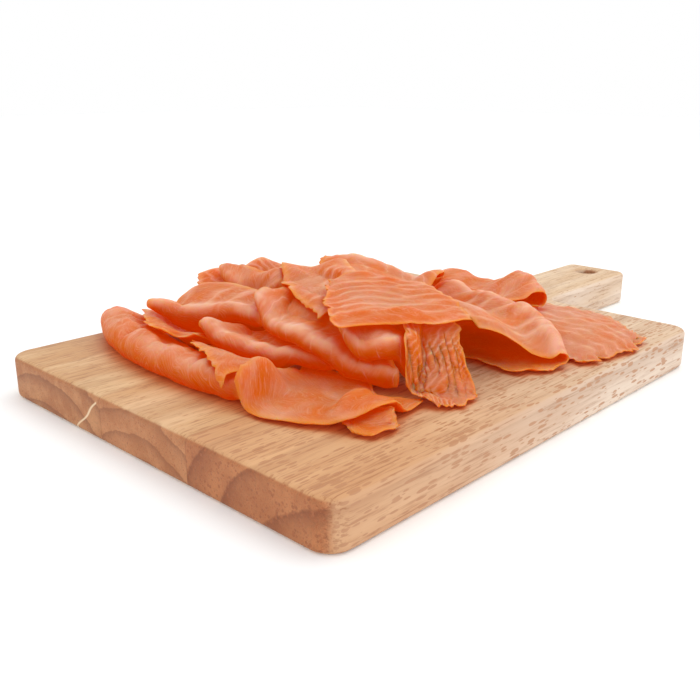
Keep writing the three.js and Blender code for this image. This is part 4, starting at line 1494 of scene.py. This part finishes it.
def fibres_group():
    """Muscle fibres: fine streaks across the fat lines, and blotches of paler and deeper flesh."""
    tree, given, result = group(
        "muscle_fibres",
        [("Sheet", "NodeSocketVector", None)],
        [("Streaks", "NodeSocketFloat"), ("Blotches", "NodeSocketFloat")],
    )
    turn = {"Vector": given["Sheet"], "Angle": noise(tree, given["Sheet"], FIBRE_TURN_SCALE, detail=1)}
    turned = add(tree, "ShaderNodeVectorRotate", turn, rotation_type="Z_AXIS")
    drawn_out = stretched(tree, turned.outputs[0], FIBRE_SHAPE)
    broad = noise(tree, drawn_out, 1.0, detail=3, roughness=FIBRE_ROUGHNESS)
    fine = noise(tree, drawn_out, FINENESS, roughness=FIBRE_ROUGHNESS)
    broad, fine = calc(tree, "MULTIPLY", broad, BROAD_FIBRES), calc(tree, "MULTIPLY", fine, FINE_FIBRES)
    tree.links.new(calc(tree, "ADD", broad, fine), result.inputs["Streaks"])
    blotches = noise(tree, given["Sheet"], BLOTCH_SCALE, detail=4, roughness=FIBRE_ROUGHNESS)
    tree.links.new(blotches, result.inputs["Blotches"])
    return tree


FIBRES = fibres_group()
print("group:", FIBRES.name)

# %% [markdown]
# ### Looks of the flesh
# Slices from different parts of the fillet don't look the same. Most share one look. Some are plainer,
# some show bold stripes, one is flaky, with a ridge at each pale line, and two are mostly long fibres. A
# material for each by hand would drift apart, so one look is written down and the others name only what
# differs.

# %% Choose the colours and the looks
DEEP = (0.61, 0.112, 0.000, 1)
PINK = (0.57, 0.188, 0.080, 1)
FAT = (0.74, 0.395, 0.260, 1)
EDGE = (0.76, 0.290, 0.050, 1)
CREASE = (0.56, 0.046, 0.000, 1)
GLOW = (0.17, 0.018, 0.0, 1)
NO_GLOW = (0, 0, 0, 1)
COMMON_LOOK = dict(
    line=0.25, width=0.045, halo=0.55, halo_width=0.34,
    pink=0.45, fibres=0.80, crest=0.95, crease=0.95, edge=4.0,
)
LOOKS = {
    "common": COMMON_LOOK,
    "plain": dict(COMMON_LOOK, line=0.08, halo=0.35, halo_width=0.36, pink=0.40, crest=0.45),
    "striped": dict(COMMON_LOOK, line=0.62, halo=0.40, halo_width=0.30, pink=0.32, fibres=0.38, crest=1.0),
    "flaky": dict(
        COMMON_LOOK, line=0.26, width=0.080, halo=0.42, halo_width=0.36,
        pink=0.34, fibres=0.70, crest=0.5, edge=2.5,
    ),
    "fibrous": dict(
        COMMON_LOOK, line=0.32, width=0.120, halo=0.50, halo_width=0.38,
        pink=0.72, fibres=0.50, crest=0.7, crease=0.55, edge=1.8,
    ),
}
print("flesh looks:", sorted(LOOKS))

# %% [markdown]
# ### Muscle, fat and painted sheen
# Where a slice faces sideways it shows deep orange muscle. Where it faces up it is painted pinker and
# paler, as a painted sheen of the room's light. So the colour goes by how far the flesh faces up. The
# crests of folds are palest, in patches, where the flesh is stretched, and where a crest faces up that is
# partly painted light. Thin rims are light, because there is little flesh in them.

# %% Colour the flesh
BLOTCH_RANGE = (0.36, 0.66)
LESS_PINK = 0.5
MORE_PINK = 0.4
PAINTED_SHEEN_BY_FACING = (0.0, 0.97, -1.0, 0.25)
STREAK_CONTRAST = 3.2
DARK_STREAKS = 1.2
CREST_PATCH_SCALE = 0.10
CREST_PATCHES = (0.36, 0.62, 0.35, 1)
LIT = (-0.25, 0.5)
HALO_FACING = (0.1, 0.8)
HALO_ON_SHADED_SIDES = 0.15
RIM_END = 0.2
RIM_STRENGTH = 0.6


def stored(tree, name, output="Fac"):
    """A value that is stored at the points of the mesh."""
    return add(tree, "ShaderNodeAttribute", attribute_name=name).outputs[output]


def muscle_colour_and_sheen(tree, look, fibres, up):
    """Deep flesh on the sides and, as a painted sheen, pinker flesh on top, in blotches and streaks."""
    pink = look["pink"]
    pinkness = ease(tree, fibres["Blotches"], *BLOTCH_RANGE, pink - LESS_PINK, pink + MORE_PINK)
    # painted sheen: flesh that faces up is painted pinker and paler, flesh on the sides deeper orange
    pinkness = calc(tree, "ADD", pinkness, ease(tree, up, *PAINTED_SHEEN_BY_FACING))
    pinkness = calc(tree, "MAXIMUM", pinkness, 0.0)
    colour = blend(tree, calc(tree, "MINIMUM", pinkness, 1.0), DEEP, PINK)
    contrast = look["fibres"] * STREAK_CONTRAST
    streaks = calc(tree, "MULTIPLY", centred(tree, fibres["Streaks"]), contrast)
    colour = blend(tree, calc(tree, "MAXIMUM", streaks, 0.0), colour, FAT)
    dark = calc(tree, "MULTIPLY", streaks, -DARK_STREAKS)
    return blend(tree, calc(tree, "MAXIMUM", dark, 0.0), colour, DEEP)


def with_crest(tree, look, colour, sheet, up):
    """Pale flesh along the crest of a fold, in patches, painted lighter where it faces up."""
    patchy = ease(tree, noise(tree, sheet, CREST_PATCH_SCALE), *CREST_PATCHES)
    # painted light: the pale crest shows fully only where the flesh faces up
    shown = calc(tree, "MULTIPLY", ease(tree, up, *LIT), look["crest"])
    pale = calc(tree, "MULTIPLY", calc(tree, "MULTIPLY", stored(tree, "crest"), patchy), shown)
    return blend(tree, pale, colour, FAT)


def with_fat_lines(tree, look, colour, lines, up):
    """The pale lines, and their halos, painted stronger where the flesh faces up as painted light."""
    # painted light: the halos are strong where the flesh faces up and weak on its shaded sides
    shown = ease(tree, up, *HALO_FACING, HALO_ON_SHADED_SIDES * look["halo"], look["halo"])
    colour = blend(tree, calc(tree, "MULTIPLY", lines["Halo"], shown), colour, FAT)
    return blend(tree, calc(tree, "MULTIPLY", lines["Line"], look["line"]), colour, FAT)


print("colours of the flesh:", DEEP[:3], PINK[:3], FAT[:3])

# %% [markdown]
# ### Light inside the flesh
# Moist flesh lets light in and gives it back redder. Subsurface scattering does that, with a long reach
# for red, and a short one at the rims, where there is little flesh to go through. Where slices shade each
# other the light that is left is a saturated red. Scattering is too weak for that, so ambient occlusion
# finds those creases, deepens their colour and lets them glow a little.

# %% Paint the flesh
SCATTER = (1.0, 0.28, 0.06)
SCATTER_DEPTHS = (0.3, 4, 0.0015, 0.0065)
CREASE_REACH = 0.028
CREASE_BY_COVER = (0.84, 0.20)
CREASE_BY_RIM = (0.3, 3.5, 0.3, 1)
GLOW_BY_COVER = (0.60, 0.12)
SHINE = 0.03
WETNESS = (0.3, 0.7, 0.32, 0.52)
WETNESS_SCALE = 0.35
FILM_BY_FACING = (0.4, 0.95, 0.0, 0.24)
FILM_BY_COVER = (0.2, 0.8)
FILM_ROUGHNESS = 0.36
FILM_IOR = 1.45
LINE_GROOVE = -0.6
GRAININESS_SCALE = 0.9
FLESH_BUMP = {"Distance": 0.0004, "Strength": 0.55}


def light_in_flesh(tree, shader, rim, cover):
    """Subsurface scattering, and the glow of deep creases."""
    shader.inputs["Subsurface Weight"].default_value = 1
    shader.inputs["Subsurface Radius"].default_value = SCATTER
    tree.links.new(ease(tree, rim, *SCATTER_DEPTHS), shader.inputs["Subsurface Scale"])
    glow = blend(tree, ease(tree, cover, *GLOW_BY_COVER), NO_GLOW, GLOW)
    tree.links.new(glow, shader.inputs["Emission Color"])
    shader.inputs["Emission Strength"].default_value = 1


def moist_surface(tree, shader, sheet, up, cover):
    """A weak shine, with a thin film of oil on what faces up."""
    shader.inputs["Specular IOR Level"].default_value = SHINE
    wetness = noise(tree, sheet, WETNESS_SCALE, detail=3)
    tree.links.new(ease(tree, wetness, *WETNESS), shader.inputs["Roughness"])
    film = calc(tree, "MULTIPLY", ease(tree, up, *FILM_BY_FACING), ease(tree, cover, *FILM_BY_COVER))
    tree.links.new(film, shader.inputs["Coat Weight"])
    shader.inputs["Coat Roughness"].default_value = FILM_ROUGHNESS
    shader.inputs["Coat IOR"].default_value = FILM_IOR


def paint_flesh(name, look):
    """A flesh material with its own strength of lines, fibres and pinkness."""
    made, tree, shader = new_material("salmon_" + name)
    sheet, rim = stored(tree, "sheet", "Vector"), stored(tree, "rim")
    facing = add(tree, "ShaderNodeNewGeometry").outputs["Normal"]
    up = add(tree, "ShaderNodeSeparateXYZ", {0: facing}).outputs[2]
    occlusion = add(tree, "ShaderNodeAmbientOcclusion", {"Distance": CREASE_REACH}, samples=COVER_SAMPLES)
    cover = occlusion.outputs["AO"]
    fibres = add(tree, "ShaderNodeGroup", {"Sheet": sheet}, node_tree=FIBRES).outputs
    widths = {"Width": look["width"], "Halo width": look["halo_width"]}
    given = {"Phase": stored(tree, "septa"), "Sheet": sheet, **widths}
    lines = add(tree, "ShaderNodeGroup", given, node_tree=FAT_LINES).outputs
    colour = with_crest(tree, look, muscle_colour_and_sheen(tree, look, fibres, up), sheet, up)
    thin = calc(tree, "MULTIPLY", ease(tree, rim, look["edge"], RIM_END), RIM_STRENGTH)
    colour = with_fat_lines(tree, look, blend(tree, thin, colour, EDGE), lines, up)
    crease = ease(tree, cover, *CREASE_BY_COVER, 0, look["crease"])
    shaded = calc(tree, "MULTIPLY", crease, ease(tree, rim, *CREASE_BY_RIM))
    tree.links.new(blend(tree, shaded, colour, CREASE), shader.inputs["Base Color"])
    light_in_flesh(tree, shader, rim, cover)
    moist_surface(tree, shader, sheet, up, cover)
    relief = calc(tree, "ADD", fibres["Streaks"], calc(tree, "MULTIPLY", lines["Line"], LINE_GROOVE))
    relief = calc(tree, "ADD", relief, noise(tree, sheet, GRAININESS_SCALE))
    bump = add(tree, "ShaderNodeBump", {"Height": relief, **FLESH_BUMP})
    tree.links.new(bump.outputs[0], shader.inputs["Normal"])
    return made


FLESH = {name: paint_flesh(name, look) for name, look in LOOKS.items()}
print("flesh materials:", [made.name for made in FLESH.values()])

# %% [markdown]
# ## From a sheet to a mesh
# Each slice becomes a closed mesh: two faces and a rim. The flakes between the pale lines bulge a little.
# A bump in the shading would vanish at the outline, so they are raised on the mesh itself.

# %% Turn a sheet into a closed mesh
FLAKE_BULGE = 0.16
FLAKE_ROUNDNESS = 0.6
FULL_RELIEF_FROM_RIM = 4
LINE_WANDER = 0.3
LINE_WANDER_PITCH = 34
FIRST_LINE = 20
SLICE_SHIFT = 37.0


def septa_phase(layout, along, across):
    """Phase of the pale lines over the sheet: whole numbers lie on a line."""
    septa = layout["septa"]
    turn = math.radians(septa["turn"])
    middle = across.max() / 2
    bow = septa["bow"] * ((across - middle) / middle) ** 2
    wander = LINE_WANDER * ripple(along, across, LINE_WANDER_PITCH, seed_of(layout, "fat_lines"))
    return (along * math.cos(turn) + across * math.sin(turn) + bow) / septa["pitch"] + wander + FIRST_LINE


def sheet_mesh(outer, inner):
    """Points and quads of a closed sheet; the winding makes the faces point out."""
    rows, columns = outer.shape[:2]
    count = rows * columns
    index = np.arange(count).reshape(rows, columns)
    a, b, c, d = index[:-1, :-1], index[1:, :-1], index[1:, 1:], index[:-1, 1:]
    top = np.stack([a, b, c, d], -1).reshape(-1, 4)
    bottom = np.stack([a, d, c, b], -1).reshape(-1, 4) + count
    rim = np.concatenate([index[0, :-1], index[:-1, -1], index[-1, :0:-1], index[:0:-1, 0]])
    following = np.roll(rim, -1)
    side = np.stack([rim, following, following + count, rim + count], -1)
    return np.concatenate([outer.reshape(-1, 3), inner.reshape(-1, 3)]), np.concatenate([top, bottom, side])


def signed_volume(points, quads):
    """Volume inside the faces; negative if they point in."""
    a, b, c, d = (points[quads[:, k]] for k in range(4))
    halves = (np.cross(b, c) * a).sum(-1) + (np.cross(c, d) * a).sum(-1)
    return halves.sum() / 6


def on_both_faces(values):
    """Values of the grid, once for each face."""
    return np.concatenate([values, values])


print("flakes stand out by", FLAKE_BULGE, "mm")

# %% [markdown]
# ## Laying the pile
# Now the slices go down one by one, each on the map that the ones before it left. Its flat measures, the
# phase of its pale lines, the distance to its rim and the nearness to its crest are stored at the points,
# where the flesh materials read them.

# %% Lay them all
def build_slice(layout, pile):
    """Lays a slice, gives it its relief and makes its piece."""
    outer, inner, along, across, rim, crest = lay_slice(layout, pile)
    phase = septa_phase(layout, along, across)
    bulge = FLAKE_BULGE * np.abs(np.sin(math.pi * phase)) ** FLAKE_ROUNDNESS
    bulge = bulge * smooth(rim / FULL_RELIEF_FROM_RIM)
    outer = outer + unit(outer - inner) * bulge[..., None]
    points, quads = sheet_mesh(outer, inner)
    if signed_volume(points, quads) < 0:
        quads = quads[:, ::-1]
    sheet = np.stack([along, across, np.full_like(along, SLICE_SHIFT * layout["seed"])], -1)
    values = {"sheet": on_both_faces(sheet.reshape(-1, 3))}
    for label, grid in (("septa", phase), ("rim", rim), ("crest", crest)):
        values[label] = on_both_faces(grid.ravel())
    name = layout["name"].replace("slice", "salmon")
    made = piece(name, in_frame(points), quads.tolist(), layout["name"], values)
    made.data.materials.append(FLESH[layout.get("look", "common")])
    return made


pile = np.full((MAP_ROWS, MAP_COLUMNS), float(BOARD_THICK))
for layout in SLICES:
    laid = build_slice(layout, pile)
    top = 1000 * max(corner[2] for corner in laid.bound_box) - BOARD_THICK
    print(f"{laid.name:22s} {2 * len(laid.data.polygons):7d} triangles, up to {top:5.1f} mm above the board")
